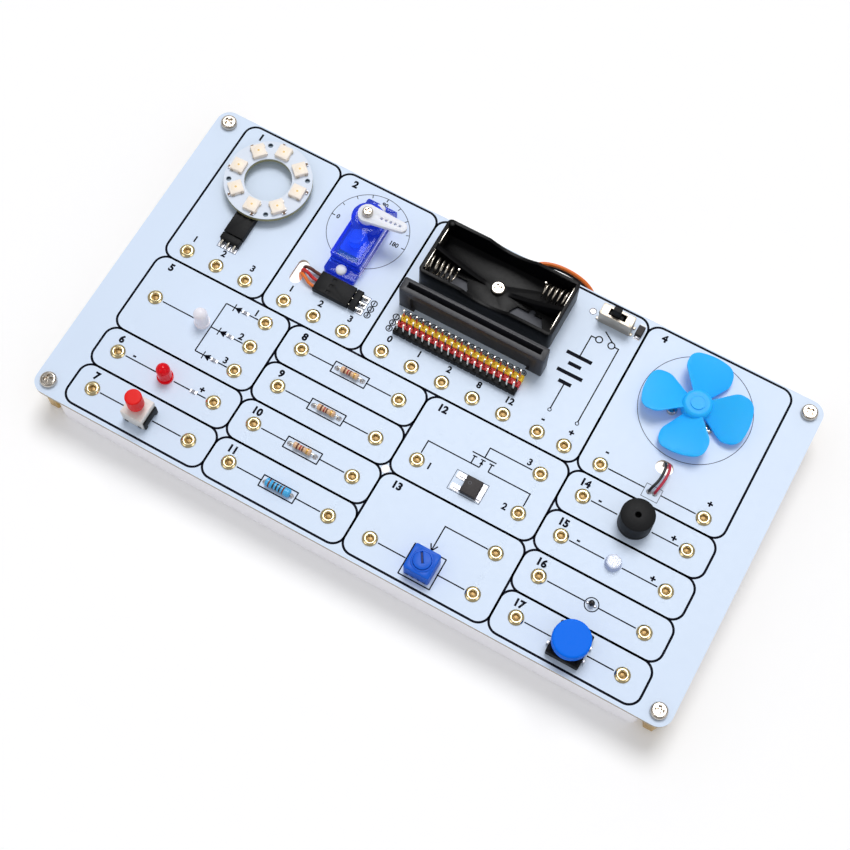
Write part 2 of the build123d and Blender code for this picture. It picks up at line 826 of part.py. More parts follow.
def servo_lead_route(exit_shift, slot_shift, plug_shift, hump):
    """Points of one servo lead, by its shift at the case, in the slot and at the plug."""
    exit_x = servo_x + exit_shift
    slot_y = servo_slot_y + slot_shift
    plug_y = servo_plug_y + plug_shift
    return [
        (exit_x, servo_near_y, lead_exit_height),
        (exit_x, servo_near_y - 3.8 - 0.9 * exit_shift, lead_exit_height),
        (exit_x - 4.4, slot_y + 2.4, lead_exit_height + 0.6),
        (servo_slot_x + 3.2, slot_y + 0.4, lead_exit_height + 1.4),
        (servo_slot_x - 0.3, slot_y, lead_exit_height + 5.6),
        (servo_slot_x - 0.2, slot_y, board_top - 1.6),
        (servo_slot_x + 0.7, slot_y - 0.1, board_top + hump),
        (servo_slot_x + 3.6, (slot_y + plug_y) / 2, board_top + hump + 0.7),
        (plug_end_x - 2.0, plug_y, plug_middle_height),
        (plug_end_x, plug_y, plug_middle_height),
    ]


brown_route = servo_lead_route(-servo_lead_pitch, 2.55, pin_pitch, 2.4)
red_route = servo_lead_route(0, 0.55, 0, 2.7)
orange_route = servo_lead_route(servo_lead_pitch, -1.55, -pin_pitch, 2.3)
servo_wire_brown = lead("servo_wire_brown", brown_route, servo_lead_diameter)
servo_wire_brown.part.label = "servo_wire_brown"
export_step(servo_wire_brown.part, "parts/servo_wire_brown.step")
servo_wire_red = lead("servo_wire_red", red_route, servo_lead_diameter)
servo_wire_red.part.label = "servo_wire_red"
export_step(servo_wire_red.part, "parts/servo_wire_red.step")
servo_wire_orange = lead("servo_wire_orange", orange_route, servo_lead_diameter)
servo_wire_orange.part.label = "servo_wire_orange"
export_step(servo_wire_orange.part, "parts/servo_wire_orange.step")

# Battery holder: two bays with a rib between them that falls from each end wall to the screw,
# scooped long walls, and two windows and a small hole in the near bay's floor
bay_width = (holder_width - 2 * holder_wall) / 2
bay_y = [holder_y - bay_width / 2, holder_y + bay_width / 2]
cell_axis_height = board_top + holder_floor + bay_width / 2
holder_left = holder_x - holder_length / 2
holder_right = holder_x + holder_length / 2
inside_left = holder_left + holder_wall
inside_right = holder_right - holder_wall
with BuildPart() as battery_holder:
    with BuildSketch(deck):
        with Locations((holder_x, holder_y)):
            RectangleRounded(holder_length, holder_width, holder_corner_radius)
    extrude(amount=holder_height)
    with BuildSketch(Plane.XY.offset(board_top + holder_floor)):
        with Locations((holder_x, holder_y)):
            Rectangle(holder_length - 2 * holder_wall, holder_width - 2 * holder_wall)
    extrude(amount=holder_height, mode=Mode.SUBTRACT)
    with BuildSketch(Plane.XZ.offset(-holder_y)):
        with BuildLine():
            rim = board_top + holder_height
            ThreePointArc(
                (holder_x - scoop_length / 2, rim),
                (holder_x, rim - scoop_depth),
                (holder_x + scoop_length / 2, rim),
            )
            Line((holder_x + scoop_length / 2, rim), (holder_x - scoop_length / 2, rim))
        make_face()
    extrude(amount=holder_width, both=True, mode=Mode.SUBTRACT)
    for side in (-1, 1):
        with BuildSketch(Plane.XZ.offset(-holder_y)):
            with BuildLine():
                foot = board_top + holder_floor
                crest = foot + rib_height
                outer = inside_left if side < 0 else inside_right
                inner = holder_x + side * rib_gap / 2
                Line((inner, foot), (outer, foot))
                Line((outer, foot), (outer, crest))
                ThreePointArc((outer, crest), ((outer + inner) / 2, foot + rib_height / 2 - rib_sag), (inner, foot))
            make_face()
        extrude(amount=rib_thickness / 2, both=True)
    with BuildSketch(deck):
        for side in (-1, 1):
            with BuildLine():
                window_x = holder_x + window_shift + side * window_offset
                near_y = holder_y - holder_width / 2 + holder_wall + window_y_gap
                far_y = near_y + window_width
                half = window_length / 2
                Polyline(
                    (window_x - half, near_y),
                    (window_x + half, near_y),
                    (window_x + half, far_y - window_shoulder),
                    (window_x + half - window_taper, far_y),
                    (window_x - half + window_taper, far_y),
                    (window_x - half, far_y - window_shoulder),
                    close=True,
                )
            make_face()
        with Locations((holder_x + cell_hole_shift[0], holder_y + cell_hole_shift[1])):
            Circle(cell_hole_radius)
    extrude(amount=holder_floor, mode=Mode.SUBTRACT)
    with BuildSketch(deck):
        with Locations((holder_x, holder_y)):
            Circle(holder_screw_radius + fit_gap)
    extrude(amount=holder_floor, mode=Mode.SUBTRACT)
battery_holder.part.label = "battery_holder"
export_step(battery_holder.part, "parts/battery_holder.step")

# Contact plates at both ends of each bay, the two bays' springs at opposite ends
with BuildPart() as battery_contacts:
    for end_x in (inside_left + plate_thickness / 2, inside_right - plate_thickness / 2):
        with Locations(*[(end_x, y, cell_axis_height) for y in bay_y]):
            Box(plate_thickness, plate_size, plate_size)
battery_contacts.part.label = "battery_contacts"
export_step(battery_contacts.part, "parts/battery_contacts.step")


def spring_point(start_x, direction, axis_y, turn):
    """A point of a conical spring: round its axis by the turn, along it by the pitch, and inwards to the tip."""
    radius = spring_base_radius + (spring_tip_radius - spring_base_radius) * turn / spring_turns
    angle = 2 * math.pi * turn
    return Vector(
        start_x + direction * spring_pitch * turn,
        axis_y + radius * math.cos(angle),
        cell_axis_height + radius * math.sin(angle),
    )


def spring_tangent(start_x, direction, axis_y, turn):
    """The spring's direction at a turn, from two points of its line close on each side."""
    step = 1e-4
    ahead = spring_point(start_x, direction, axis_y, turn + step)
    behind = spring_point(start_x, direction, axis_y, turn - step)
    return (ahead - behind).normalized()


def spring_gap(start_x, direction, axis_y):
    """Least distance between the spring's wire and its next turn, from points along its line."""
    samples = 48
    line = [spring_point(start_x, direction, axis_y, i / samples) for i in range(spring_turns * samples + 1)]
    return min(
        (line[i] - line[j]).length
        for i in range(len(line))
        for j in range(i + samples // 2, len(line))
    ) - spring_wire


def spring_path(start_x, direction, axis_y):
    """The spring's line: a biarc for each half turn, and a straight of one wire diameter at each end."""
    edges = []
    first = spring_point(start_x, direction, axis_y, 0)
    first_tangent = spring_tangent(start_x, direction, axis_y, 0)
    edges.append(Edge.make_line(first - first_tangent * spring_wire, first))
    for half in range(2 * spring_turns):
        begin = spring_point(start_x, direction, axis_y, half / 2)
        finish = spring_point(start_x, direction, axis_y, (half + 1) / 2)
        begin_tangent = spring_tangent(start_x, direction, axis_y, half / 2)
        finish_tangent = spring_tangent(start_x, direction, axis_y, (half + 1) / 2)
        chord = finish - begin
        tangent_sum = begin_tangent + finish_tangent
        spread = 2 * (1 - begin_tangent.dot(finish_tangent))
        along = chord.dot(tangent_sum)
        reach = (-along + math.sqrt(along**2 + spread * chord.dot(chord))) / spread
        knee_in = begin + begin_tangent * reach
        knee_out = finish - finish_tangent * reach
        middle = (knee_in + knee_out) * 0.5
        edges.append(Edge.make_tangent_arc(begin, begin_tangent, middle))
        edges.append(Edge.make_tangent_arc(middle, knee_out - knee_in, finish))
    last = spring_point(start_x, direction, axis_y, spring_turns)
    last_tangent = spring_tangent(start_x, direction, axis_y, spring_turns)
    edges.append(Edge.make_line(last, last + last_tangent * spring_wire))
    return Wire(edges)


spring_seat = plate_thickness + spring_wire / 2 + 0.15
spring_starts = [
    (inside_left + spring_seat, 1, bay_y[0]),
    (inside_right - spring_seat, -1, bay_y[1]),
]
spring_paths = [spring_path(*start) for start in spring_starts]
with BuildPart() as battery_springs:
    for path in spring_paths:
        with BuildSketch(Plane(origin=path @ 0, z_dir=path % 0)):
            Circle(spring_wire / 2)
        sweep(path=path)
print("battery_springs least gap", round(min(spring_gap(*start) for start in spring_starts), 2))
battery_springs.part.label = "battery_springs"
export_step(battery_springs.part, "parts/battery_springs.step")

with BuildPart() as holder_screw:
    with BuildSketch(Plane.XY.offset(board_top + holder_floor)):
        with Locations((holder_x, holder_y)):
            Circle(holder_screw_head_radius)
    extrude(amount=holder_screw_head_height)
    fillet(holder_screw.faces().sort_by(Axis.Z)[-1].edges(), holder_screw_head_height * 0.6)
    with BuildSketch(Plane.XY.offset(board_top + holder_floor)):
        with Locations((holder_x, holder_y)):
            Circle(holder_screw_radius)
    extrude(amount=-holder_screw_reach)
holder_screw.part.label = "holder_screw"
export_step(holder_screw.part, "parts/holder_screw.step")

# Battery leads: out of the holder's back wall, round the board's back edge, in through the tray's notch,
# and up to the board's underside below the switch
holder_back = holder_y + holder_width / 2


def battery_lead_route(shift_x, shift_y, drop):
    """Points of one battery lead, shifted from the other one by a lead's thickness."""
    start_x = holder_x + 7.1 + shift_x
    end_x = lead_notch_x + 3.2 + 2 * shift_x
    return [
        (start_x, holder_back, board_top + 2.4 - drop),
        (start_x, holder_back + 3.4 + shift_y, board_top + 2.4 - drop),
        (start_x + 5.6, back_edge + 1.3 + shift_y, board_top + 2.3 - drop),
        (start_x + 12.2, back_edge + 2.3 + shift_y, board_top + 1.3 - drop),
        (start_x + 18.6, back_edge + 2.0 + shift_y, board_top - 0.4 - drop),
        (start_x + 22.8, back_edge + 1.2 + shift_y / 2, board_top - 4.6 - drop),
        (lead_notch_x - 0.4 + shift_x, back_edge - 1.8 + shift_y / 2, board_top - 7.0 - drop),
        (end_x - 0.6 - 0.5 * shift_x, back_edge - 5.4 + shift_y / 2, board_top - 6.2 - drop),
        (end_x, back_edge - 7.0 + shift_y / 2, tray_depth - 2.2),
        (end_x, back_edge - 7.0 + shift_y / 2, tray_depth),
    ]


battery_wire_orange = lead("battery_wire_orange", battery_lead_route(0, 0, 0), battery_lead_diameter)
battery_wire_orange.part.label = "battery_wire_orange"
export_step(battery_wire_orange.part, "parts/battery_wire_orange.step")
battery_wire_black = lead("battery_wire_black", battery_lead_route(-1.0, -0.2, 1.5), battery_lead_diameter)
battery_wire_black.part.label = "battery_wire_black"
export_step(battery_wire_black.part, "parts/battery_wire_black.step")

# Edge connector: a long block with an end post at each side, a lip round the card slot, and its contacts
connector_top = board_top + connector_height
slot_length = connector_length - 2 * slot_end_wall
slot_y = connector_y + slot_y_shift
with BuildPart() as edge_connector:
    with BuildSketch(deck):
        with Locations((connector_x, connector_y)):
            RectangleRounded(connector_length, connector_width, 0.6)
    extrude(amount=connector_height)
    for side in (-1, 1):
        with BuildSketch(Plane.XZ.offset(-(connector_y + side * connector_width / 2))):
            with Locations((connector_x, board_top + (connector_height - lip_height) / 2)):
                RectangleRounded(connector_length - 2 * post_width, connector_height - lip_height, 1.5)
        extrude(amount=side * lip_overhang, mode=Mode.SUBTRACT)
    with BuildSketch(Plane.XY.offset(connector_top)):
        with Locations((connector_x, slot_y)):
            Rectangle(slot_length, slot_width)
    extrude(amount=-slot_depth, mode=Mode.SUBTRACT)
edge_connector.part.label = "edge_connector"
export_step(edge_connector.part, "parts/edge_connector.step")

contact_pitch = slot_length / (contact_count + 0.6)
with BuildPart() as edge_contacts:
    for side in (-1, 1):
        contact_y = slot_y + side * (slot_width - contact_thickness) / 2
        with Locations((connector_x, contact_y, connector_top - slot_depth)):
            with GridLocations(contact_pitch, 1, contact_count, 1):
                Box(contact_width, contact_thickness, contact_height, align=upright)
edge_contacts.part.label = "edge_contacts"
export_step(edge_contacts.part, "parts/edge_contacts.step")


def header_strip(middle_y):
    """One row of the header: a strip notched between its columns, with a square hole for each pin."""
    with BuildPart() as strip:
        with BuildSketch(deck) as plan:
            with Locations((strip_x, middle_y)):
                Rectangle(strip_columns * pin_pitch, pin_pitch - strip_gap)
                for side in (-1, 1):
                    with Locations((0, side * (pin_pitch - strip_gap) / 2)):
                        with GridLocations(pin_pitch, 1, strip_columns - 1, 1):
                            Rectangle(strip_notch, strip_notch, rotation=45, mode=Mode.SUBTRACT)
                with GridLocations(pin_pitch, 1, strip_columns, 1):
                    Rectangle(plug_bore, plug_bore, mode=Mode.SUBTRACT)
        extrude(amount=strip_height)
    return strip


header_strip_yellow = header_strip(strip_y + pin_pitch)
header_strip_yellow.part.label = "header_strip_yellow"
export_step(header_strip_yellow.part, "parts/header_strip_yellow.step")
header_strip_red = header_strip(strip_y)
header_strip_red.part.label = "header_strip_red"
export_step(header_strip_red.part, "parts/header_strip_red.step")
header_strip_black = header_strip(strip_y - pin_pitch)
header_strip_black.part.label = "header_strip_black"
export_step(header_strip_black.part, "parts/header_strip_black.step")

with BuildPart() as header_pins:
    with Locations((strip_x, strip_y, board_top)):
        with GridLocations(pin_pitch, pin_pitch, strip_columns, 3):
            Box(pin_size, pin_size, strip_pin_top, align=upright)
header_pins.part.label = "header_pins"
export_step(header_pins.part, "parts/header_pins.step")

# Slide switch: folded metal can over an insulating base, with a knob that slides in the can's window
switch_top = board_top + switch_height
cavity_length = switch_length - 2 * switch_sheet
cavity_width = switch_width - 2 * switch_sheet
with BuildPart() as switch_can:
    with BuildSketch(deck):
        with Locations((switch_x, switch_y)):
            RectangleRounded(switch_length, switch_width, switch_sheet)
            Rectangle(cavity_length, cavity_width, mode=Mode.SUBTRACT)
    extrude(amount=switch_height - switch_sheet)
    with BuildSketch(Plane.XY.offset(switch_top)):
        with Locations((switch_x, switch_y)):
            RectangleRounded(switch_length, switch_width, switch_sheet)
            Rectangle(switch_window_length, switch_window_width, mode=Mode.SUBTRACT)
    extrude(amount=-switch_sheet)
switch_can.part.label = "switch_can"
export_step(switch_can.part, "parts/switch_can.step")

with BuildPart() as switch_base:
    with Locations((switch_x, switch_y, board_top)):
        Box(cavity_length - 2 * fit_gap, cavity_width - 2 * fit_gap, switch_base_height, align=upright)
switch_base.part.label = "switch_base"
export_step(switch_base.part, "parts/switch_base.step")

knob_x = switch_x + knob_offset
with BuildPart() as switch_knob:
    with Locations((knob_x, switch_y, board_top + switch_base_height + fit_gap)):
        Box(knob_flange_length, cavity_width - 4 * fit_gap, knob_flange_height, align=upright)
    with BuildSketch(Plane.XY.offset(board_top + knob_top)):
        with Locations((knob_x, switch_y)):
            Rectangle(knob_length, knob_width)
    extrude(amount=-(knob_top - switch_base_height - knob_flange_height))
    chamfer(switch_knob.faces().sort_by(Axis.Z)[-1].edges(), 0.25)
switch_knob.part.label = "switch_knob"
export_step(switch_knob.part, "parts/switch_knob.step")

# Surface-mounted diode with its bent ends
with BuildPart() as diode:
    with Locations((diode_x, diode_y, board_top)):
        Box(diode_end_width, diode_length + 2 * diode_end, diode_end_height, align=upright)
    with BuildSketch(Plane.XY.offset(board_top + diode_end_height / 2)):
        with Locations((diode_x, diode_y)):
            Rectangle(diode_width, diode_length)
    extrude(amount=diode_height - diode_end_height / 2, taper=4)
diode.part.label = "diode"
export_step(diode.part, "parts/diode.step")

# Fan motor under the board: flat round can with a bearing boss up into the board
with BuildPart() as motor_can:
    with BuildSketch(Plane.XY.offset(tray_depth)):
        with Locations((fan_x, fan_y)):
            Circle(motor_radius)
    extrude(amount=-motor_thickness)
    fillet(motor_can.faces().sort_by(Axis.Z)[0].edges(), motor_rim_radius)
    with Locations((fan_x, fan_y - motor_radius, tray_depth - motor_thickness / 2)):
        Box(motor_tab_width, 2 * motor_tab_reach, motor_tab_height)
    with BuildSketch(Plane.XY.offset(tray_depth)):
        with Locations((fan_x, fan_y)):
            Circle(motor_boss_radius)
    extrude(amount=motor_boss_height)
    with BuildSketch(Plane.XY.offset(tray_depth + motor_boss_height)):
        with Locations((fan_x, fan_y)):
            Circle(motor_shaft_radius + fit_gap)
    extrude(amount=-motor_shaft_depth - slide_gap, mode=Mode.SUBTRACT)
    with BuildSketch(Plane.XY.offset(tray_depth)):
        with Locations(*motor_screw_places):
            Circle(motor_screw_radius + fit_gap)
    extrude(amount=-motor_screw_reach, mode=Mode.SUBTRACT)
motor_can.part.label = "motor_can"
export_step(motor_can.part, "parts/motor_can.step")

with BuildPart() as motor_screws:
    with BuildSketch(deck):
        with Locations(*motor_screw_places):
            Circle(motor_screw_head_radius)
    extrude(amount=motor_screw_head_height)
    fillet(motor_screws.faces().group_by(Axis.Z)[-1].edges(), motor_screw_head_height * 0.6)
    with BuildSketch(deck):
        with Locations(*motor_screw_places):
            Circle(motor_screw_radius)
    extrude(amount=-motor_screw_reach)
motor_screws.part.label = "motor_screws"
export_step(motor_screws.part, "parts/motor_screws.step")

shaft_foot = tray_depth + motor_boss_height - motor_shaft_depth
shaft_tip = board_top + hub_bottom + hub_bore_depth - fit_gap
with BuildPart() as motor_shaft:
    with BuildSketch(Plane.XY.offset(shaft_foot)):
        with Locations((fan_x, fan_y)):
            Circle(motor_shaft_radius)
    extrude(amount=shaft_tip - shaft_foot)
motor_shaft.part.label = "motor_shaft"
export_step(motor_shaft.part, "parts/motor_shaft.step")

# One blade along +x about its own middle height: a slab that untwists from root to tip, cut to its outline
slab_start = 3.0
slab_end = blade_tip_radius + 1.0
with BuildPart() as blade:
    for share in (0, 0.5, 1):
        station = slab_start + share * (slab_end - slab_start)
        pitch = blade_root_pitch + share * (blade_tip_pitch - blade_root_pitch)
        with BuildSketch(Plane(origin=(station, 0, 0), x_dir=(0, 1, 0), z_dir=(1, 0, 0))):
            Rectangle(1.6 * blade_width, blade_thickness, rotation=pitch)
    loft()
    with BuildSketch() as outline:
        with BuildLine():
            tip_y = blade_width / 2 * 0.94
            tip_x = math.sqrt(blade_tip_radius**2 - tip_y**2)
            Polyline(
                (tip_x, tip_y),
                (blade_shoulder, blade_width / 2),
                (slab_start, blade_root_width / 2),
                (slab_start, -blade_root_width / 2),
                (blade_shoulder, -blade_width / 2),
                (tip_x, -tip_y),
            )
            ThreePointArc((tip_x, -tip_y), (blade_tip_radius, 0), (tip_x, tip_y))
        make_face()
        tip_corners = outline.vertices().group_by(Axis.X)[-1]
        fillet(tip_corners, blade_corner_radius)
        fillet(
            outline.vertices().filter_by(lambda v: abs(v.X - blade_shoulder) < 1e-3), blade_shoulder_radius
        )
    extrude(amount=blade_width, both=True, mode=Mode.INTERSECT)

with BuildPart() as propeller:
    with BuildSketch(Plane.XY.offset(board_top + hub_bottom)):
        with Locations((fan_x, fan_y)):
            Circle(hub_radius)
    extrude(amount=hub_height)
    fillet(propeller.faces().sort_by(Axis.Z)[-1].edges(), 1.4)
    with Locations((fan_x, fan_y, board_top + blade_mid_height)):
        with PolarLocations(0, blade_count, start_angle=blade_angle):
            add(blade.part)
    with BuildSketch(Plane.XY.offset(board_top + hub_bottom)):
        with Locations((fan_x, fan_y)):
            Circle(motor_shaft_radius + fit_gap)
    extrude(amount=hub_bore_depth, mode=Mode.SUBTRACT)
propeller.part.label = "propeller"
export_step(propeller.part, "parts/propeller.step")

# Fan leads: out of the motor's tab, up through the slot, and down onto two pads
tab_y = fan_y - motor_radius - motor_tab_reach
tab_height = tray_depth - motor_thickness / 2


def fan_lead_route(tab_shift, slot_shift, bulge_shift, pad_shift, pad_drop):
    """Points of one fan lead, by its shift from the fan's axis at the tab, slot, bulge and pad."""
    slot_back = fan_slot_y + fan_slot_length / 2
    tab_x = fan_x + tab_shift
    slot_x = fan_x + slot_shift
    bulge_x = fan_x + bulge_shift
    pad_x = fan_x + pad_shift
    pad_y = top_row_y - pad_drop
    return [
        (tab_x, tab_y, tab_height),
        (tab_x, tab_y - 3.4, tab_height),
        (slot_x, slot_back + 0.6, tab_height + 1.8),
        (slot_x, slot_back - 1.1, board_top - 2.2),
        (slot_x + 0.3, slot_back - 1.0, board_top + 1.6),
        (bulge_x, slot_back - 3.6, board_top + 3.0),
        (bulge_x, pad_y + 4.6, board_top + 2.7),
        (pad_x + 0.3, pad_y + 0.9, board_top + 2.3),
        (pad_x, pad_y, board_top + 1.3),
        (pad_x, pad_y, board_top),
    ]


fan_wire_black = lead("fan_wire_black", fan_lead_route(-1.0, -0.5, 0.8, -0.7, 0.5), fan_lead_diameter)
fan_wire_black.part.label = "fan_wire_black"
export_step(fan_wire_black.part, "parts/fan_wire_black.step")
fan_wire_red = lead("fan_wire_red", fan_lead_route(1.0, 0.9, 2.3, 1.3, 0.3), fan_lead_diameter)
fan_wire_red.part.label = "fan_wire_red"
export_step(fan_wire_red.part, "parts/fan_wire_red.step")

# Buzzer
with BuildPart() as buzzer:
    with BuildSketch(deck):
        with Locations((middle_x[3], row_y[0])):
            Circle(buzzer_radius)
    extrude(amount=buzzer_height)
    chamfer(buzzer.faces().sort_by(Axis.Z)[-1].edges(), buzzer_edge)
    with BuildSketch(Plane.XY.offset(board_top + buzzer_height)):
        with Locations((middle_x[3], row_y[0])):
            Circle(buzzer_hole_radius)
    extrude(amount=-buzzer_hole_depth, mode=Mode.SUBTRACT)
buzzer.part.label = "buzzer"
export_step(buzzer.part, "parts/buzzer.step")


def dome_lamp(centre_x, centre_y, radius, height):
    """A round moulded lamp or cell: a flange with a flat, an upright body and a half-round top."""
    with BuildPart() as lamp:
        with BuildSketch(deck):
            with Locations((centre_x, centre_y)):
                Circle(radius + led_flange_radius - led_radius)
            with Locations((centre_x + radius + led_flange_radius - led_flat / 2, centre_y)):
                Rectangle(led_flange_radius, 2 * led_flange_radius, mode=Mode.SUBTRACT)
        extrude(amount=led_flange_height)
        with BuildSketch(Plane.XZ.offset(-centre_y)):
            with BuildLine():
                top_height = board_top + height
                shoulder = top_height - radius
                Line((centre_x, board_top), (centre_x + radius, board_top))
                Line((centre_x + radius, board_top), (centre_x + radius, shoulder))
                RadiusArc((centre_x + radius, shoulder), (centre_x, top_height), -radius)
                Line((centre_x, top_height), (centre_x, board_top))
            make_face()
        revolve(axis=Axis((centre_x, centre_y, 0), (0, 0, 1)))
    return lamp


photocell = dome_lamp(middle_x[3], row_y[1], photocell_radius, photocell_height)
photocell.part.label = "photocell"
export_step(photocell.part, "parts/photocell.step")
rgb_led = dome_lamp(middle_x[0], diode_rows[1], led_radius, led_height)
rgb_led.part.label = "rgb_led"
export_step(rgb_led.part, "parts/rgb_led.step")
red_led = dome_lamp(middle_x[0], row_y[2], led_radius, led_height)
red_led.part.label = "red_led"
export_step(red_led.part, "parts/red_led.step")

# Temperature bead on its two short legs
with BuildPart() as ntc_bead:
    with BuildSketch(deck):
        with Locations((middle_x[3] - bead_leg_spread, row_y[2]), (middle_x[3] + bead_leg_spread, row_y[2])):
            Circle(bead_leg_radius)
    extrude(amount=bead_height)
    with BuildSketch(Plane.XZ.offset(-row_y[2])):
        with BuildLine():
            bead_foot = (middle_x[3], board_top + bead_height - bead_radius)
            bead_crown = (middle_x[3], board_top + bead_height + bead_radius)
            ThreePointArc(bead_foot, (middle_x[3] + bead_radius, board_top + bead_height), bead_crown)
            Line(bead_crown, bead_foot)
        make_face()
    revolve(axis=Axis((middle_x[3], row_y[2], 0), (0, 0, 1)))
ntc_bead.part.label = "ntc_bead"
export_step(ntc_bead.part, "parts/ntc_bead.step")

# Push button: square base with four legs, plunger, and round cap pressed on the plunger's post
button_x = middle_x[3]
button_y = row_y[3]
well_bottom = board_top + plunger_floor
with BuildPart() as tact_base:
    with BuildSketch(deck):
        with Locations((button_x, button_y)):
            RectangleRounded(tact_size, tact_size, tact_corner)
    extrude(amount=tact_height)
    with BuildSketch(Plane.XY.offset(board_top + tact_height)):
        with Locations((button_x, button_y)):
            Circle(plunger_radius + fit_gap)
    extrude(amount=plunger_floor - tact_height, mode=Mode.SUBTRACT)
    leg_x = tact_size / 2 + tact_leg_reach / 2
    with Locations((button_x, button_y, board_top)):
        with GridLocations(2 * leg_x, tact_leg_spread, 2, 2):
            Box(tact_leg_reach, tact_leg_width, tact_leg_height, align=upright)
tact_base.part.label = "tact_base"
export_step(tact_base.part, "parts/tact_base.step")

plunger_bottom = well_bottom + plunger_lift
post_top = board_top + cap_top - cap_wall - slide_gap
with BuildPart() as tact_plunger:
    with BuildSketch(Plane.XY.offset(plunger_bottom)):
        with Locations((button_x, button_y)):
            Circle(plunger_radius)
    extrude(amount=board_top + plunger_top - plunger_bottom)
    with BuildSketch(Plane.XY.offset(board_top + plunger_top)):
        with Locations((button_x, button_y)):
            Rectangle(plunger_post, plunger_post)
    extrude(amount=post_top - board_top - plunger_top)
tact_plunger.part.label = "tact_plunger"
export_step(tact_plunger.part, "parts/tact_plunger.step")

with BuildPart() as button_cap:
    with BuildSketch(Plane.XY.offset(board_top + cap_bottom)):
        with Locations((button_x, button_y)):
            Circle(cap_radius)
    extrude(amount=cap_top - cap_bottom)
    fillet(button_cap.faces().sort_by(Axis.Z)[-1].edges(), cap_edge_radius)
    with BuildSketch(Plane.XY.offset(board_top + cap_bottom)):
        with Locations((button_x, button_y)):
            Circle(cap_radius - cap_wall)
            Circle(plunger_radius, mode=Mode.SUBTRACT)
    extrude(amount=cap_rim_depth, mode=Mode.SUBTRACT)
    with BuildSketch(Plane.XY.offset(board_top + plunger_top)):
        with Locations((button_x, button_y)):
            Circle(plunger_radius)
    extrude(amount=cap_bottom - plunger_top)
    with BuildSketch(Plane.XY.offset(board_top + plunger_top)):
        with Locations((button_x, button_y)):
            Rectangle(plunger_post + 2 * fit_gap, plunger_post + 2 * fit_gap)
    extrude(amount=post_top + fit_gap - board_top - plunger_top, mode=Mode.SUBTRACT)
button_cap.part.label = "button_cap"
export_step(button_cap.part, "parts/button_cap.step")

# Latching button: white body with a well for the stem, black contact frame at its side, red cap
lock_x = middle_x[0]
lock_y = row_y[3]
with BuildPart() as lock_body:
    with BuildSketch(deck):
        with Locations((lock_x, lock_y)):
            RectangleRounded(lock_size, lock_size, 0.3)
    extrude(amount=lock_height)
    with BuildSketch(Plane.XY.offset(board_top + lock_height)):
        with Locations((lock_x, lock_y)):
            Circle(lock_stem_radius + fit_gap)
    extrude(amount=lock_well_floor - lock_height, mode=Mode.SUBTRACT)
lock_body.part.label = "lock_body"
export_step(lock_body.part, "parts/lock_body.step")

frame_x = lock_x + (lock_size + lock_frame_thickness) / 2
with BuildPart() as lock_frame:
    with BuildSketch(Plane.YZ.offset(frame_x - lock_frame_thickness / 2)):
        with Locations((lock_y, board_top + (lock_frame_height + lock_foot_gap) / 2)):
            Rectangle(lock_frame_width, lock_frame_height - lock_foot_gap)
        for side in (-1, 1):
            foot_y = lock_y + side * (lock_frame_width - lock_foot_width) / 2
            with Locations((foot_y, board_top + lock_foot_gap / 2)):
                Rectangle(lock_foot_width, lock_foot_gap)
    extrude(amount=lock_frame_thickness)
lock_frame.part.label = "lock_frame"
export_step(lock_frame.part, "parts/lock_frame.step")

stem_bottom = board_top + lock_well_floor + lock_travel_room
with BuildPart() as lock_cap:
    with BuildSketch(Plane.XY.offset(board_top + lock_cap_bottom)):
        with Locations((lock_x, lock_y)):
            Circle(lock_cap_radius)
    extrude(amount=lock_cap_top - lock_cap_bottom)
    fillet(lock_cap.faces().sort_by(Axis.Z)[-1].edges(), lock_cap_edge)
    with BuildSketch(Plane.XY.offset(stem_bottom)):
        with Locations((lock_x, lock_y)):
            Circle(lock_stem_radius)
    extrude(amount=board_top + lock_cap_bottom - stem_bottom)
lock_cap.part.label = "lock_cap"
export_step(lock_cap.part, "parts/lock_cap.step")

# Chip resistors, one beside each colour line and one beside the red LED
chip_places = [(chip_x, y) for y in diode_rows + [row_y[2]]]
with BuildPart() as smd_resistors:
    with BuildSketch(deck):
        with Locations(*chip_places):
            Rectangle(chip_length, chip_width)
    extrude(amount=chip_height)
smd_resistors.part.label = "smd_resistors"
export_step(smd_resistors.part, "parts/smd_resistors.step")


def resistor(middle_y, radius, length):
    """A wired resistor lying along x: body with thicker ends, and a lead bent down at each end."""
    axis_height = board_top + resistor_height
    cap_length = resistor_cap_share * length
    left = middle_x[1] - length / 2
    right = middle_x[1] + length / 2
    with BuildPart() as body:
        with BuildSketch(Plane.XZ.offset(-middle_y)):
            with BuildLine():
                Polyline(
                    (left, axis_height),
                    (left, axis_height + radius * 0.7),
                    (left + 0.3 * radius, axis_height + radius),
                    (left + cap_length, axis_height + radius),
                    (left + cap_length + resistor_waist, axis_height + radius - resistor_waist),
                    (right - cap_length - resistor_waist, axis_height + radius - resistor_waist),
                    (right - cap_length, axis_height + radius),
                    (right - 0.3 * radius, axis_height + radius),
                    (right, axis_height + radius * 0.7),
                    (right, axis_height),
                    close=True,
                )
            make_face()
        revolve(axis=Axis((middle_x[1], middle_y, axis_height), (1, 0, 0)))
        for side in (-1, 1):
            lead_x = middle_x[1] + side * lead_span / 2
            body_end = middle_x[1] + side * (length / 2 - 0.2)
            bend = min(0.7, abs(lead_x - body_end) * 0.8)
            with BuildLine():
                bent = FilletPolyline(
                    (lead_x, middle_y, board_top),
                    (lead_x, middle_y, axis_height),
                    (body_end, middle_y, axis_height),
                    radius=bend,
                )
            with BuildSketch(Plane(origin=bent @ 0, z_dir=bent % 0)):
                Circle(lead_wire_radius)
            sweep(path=bent)
    return body.part


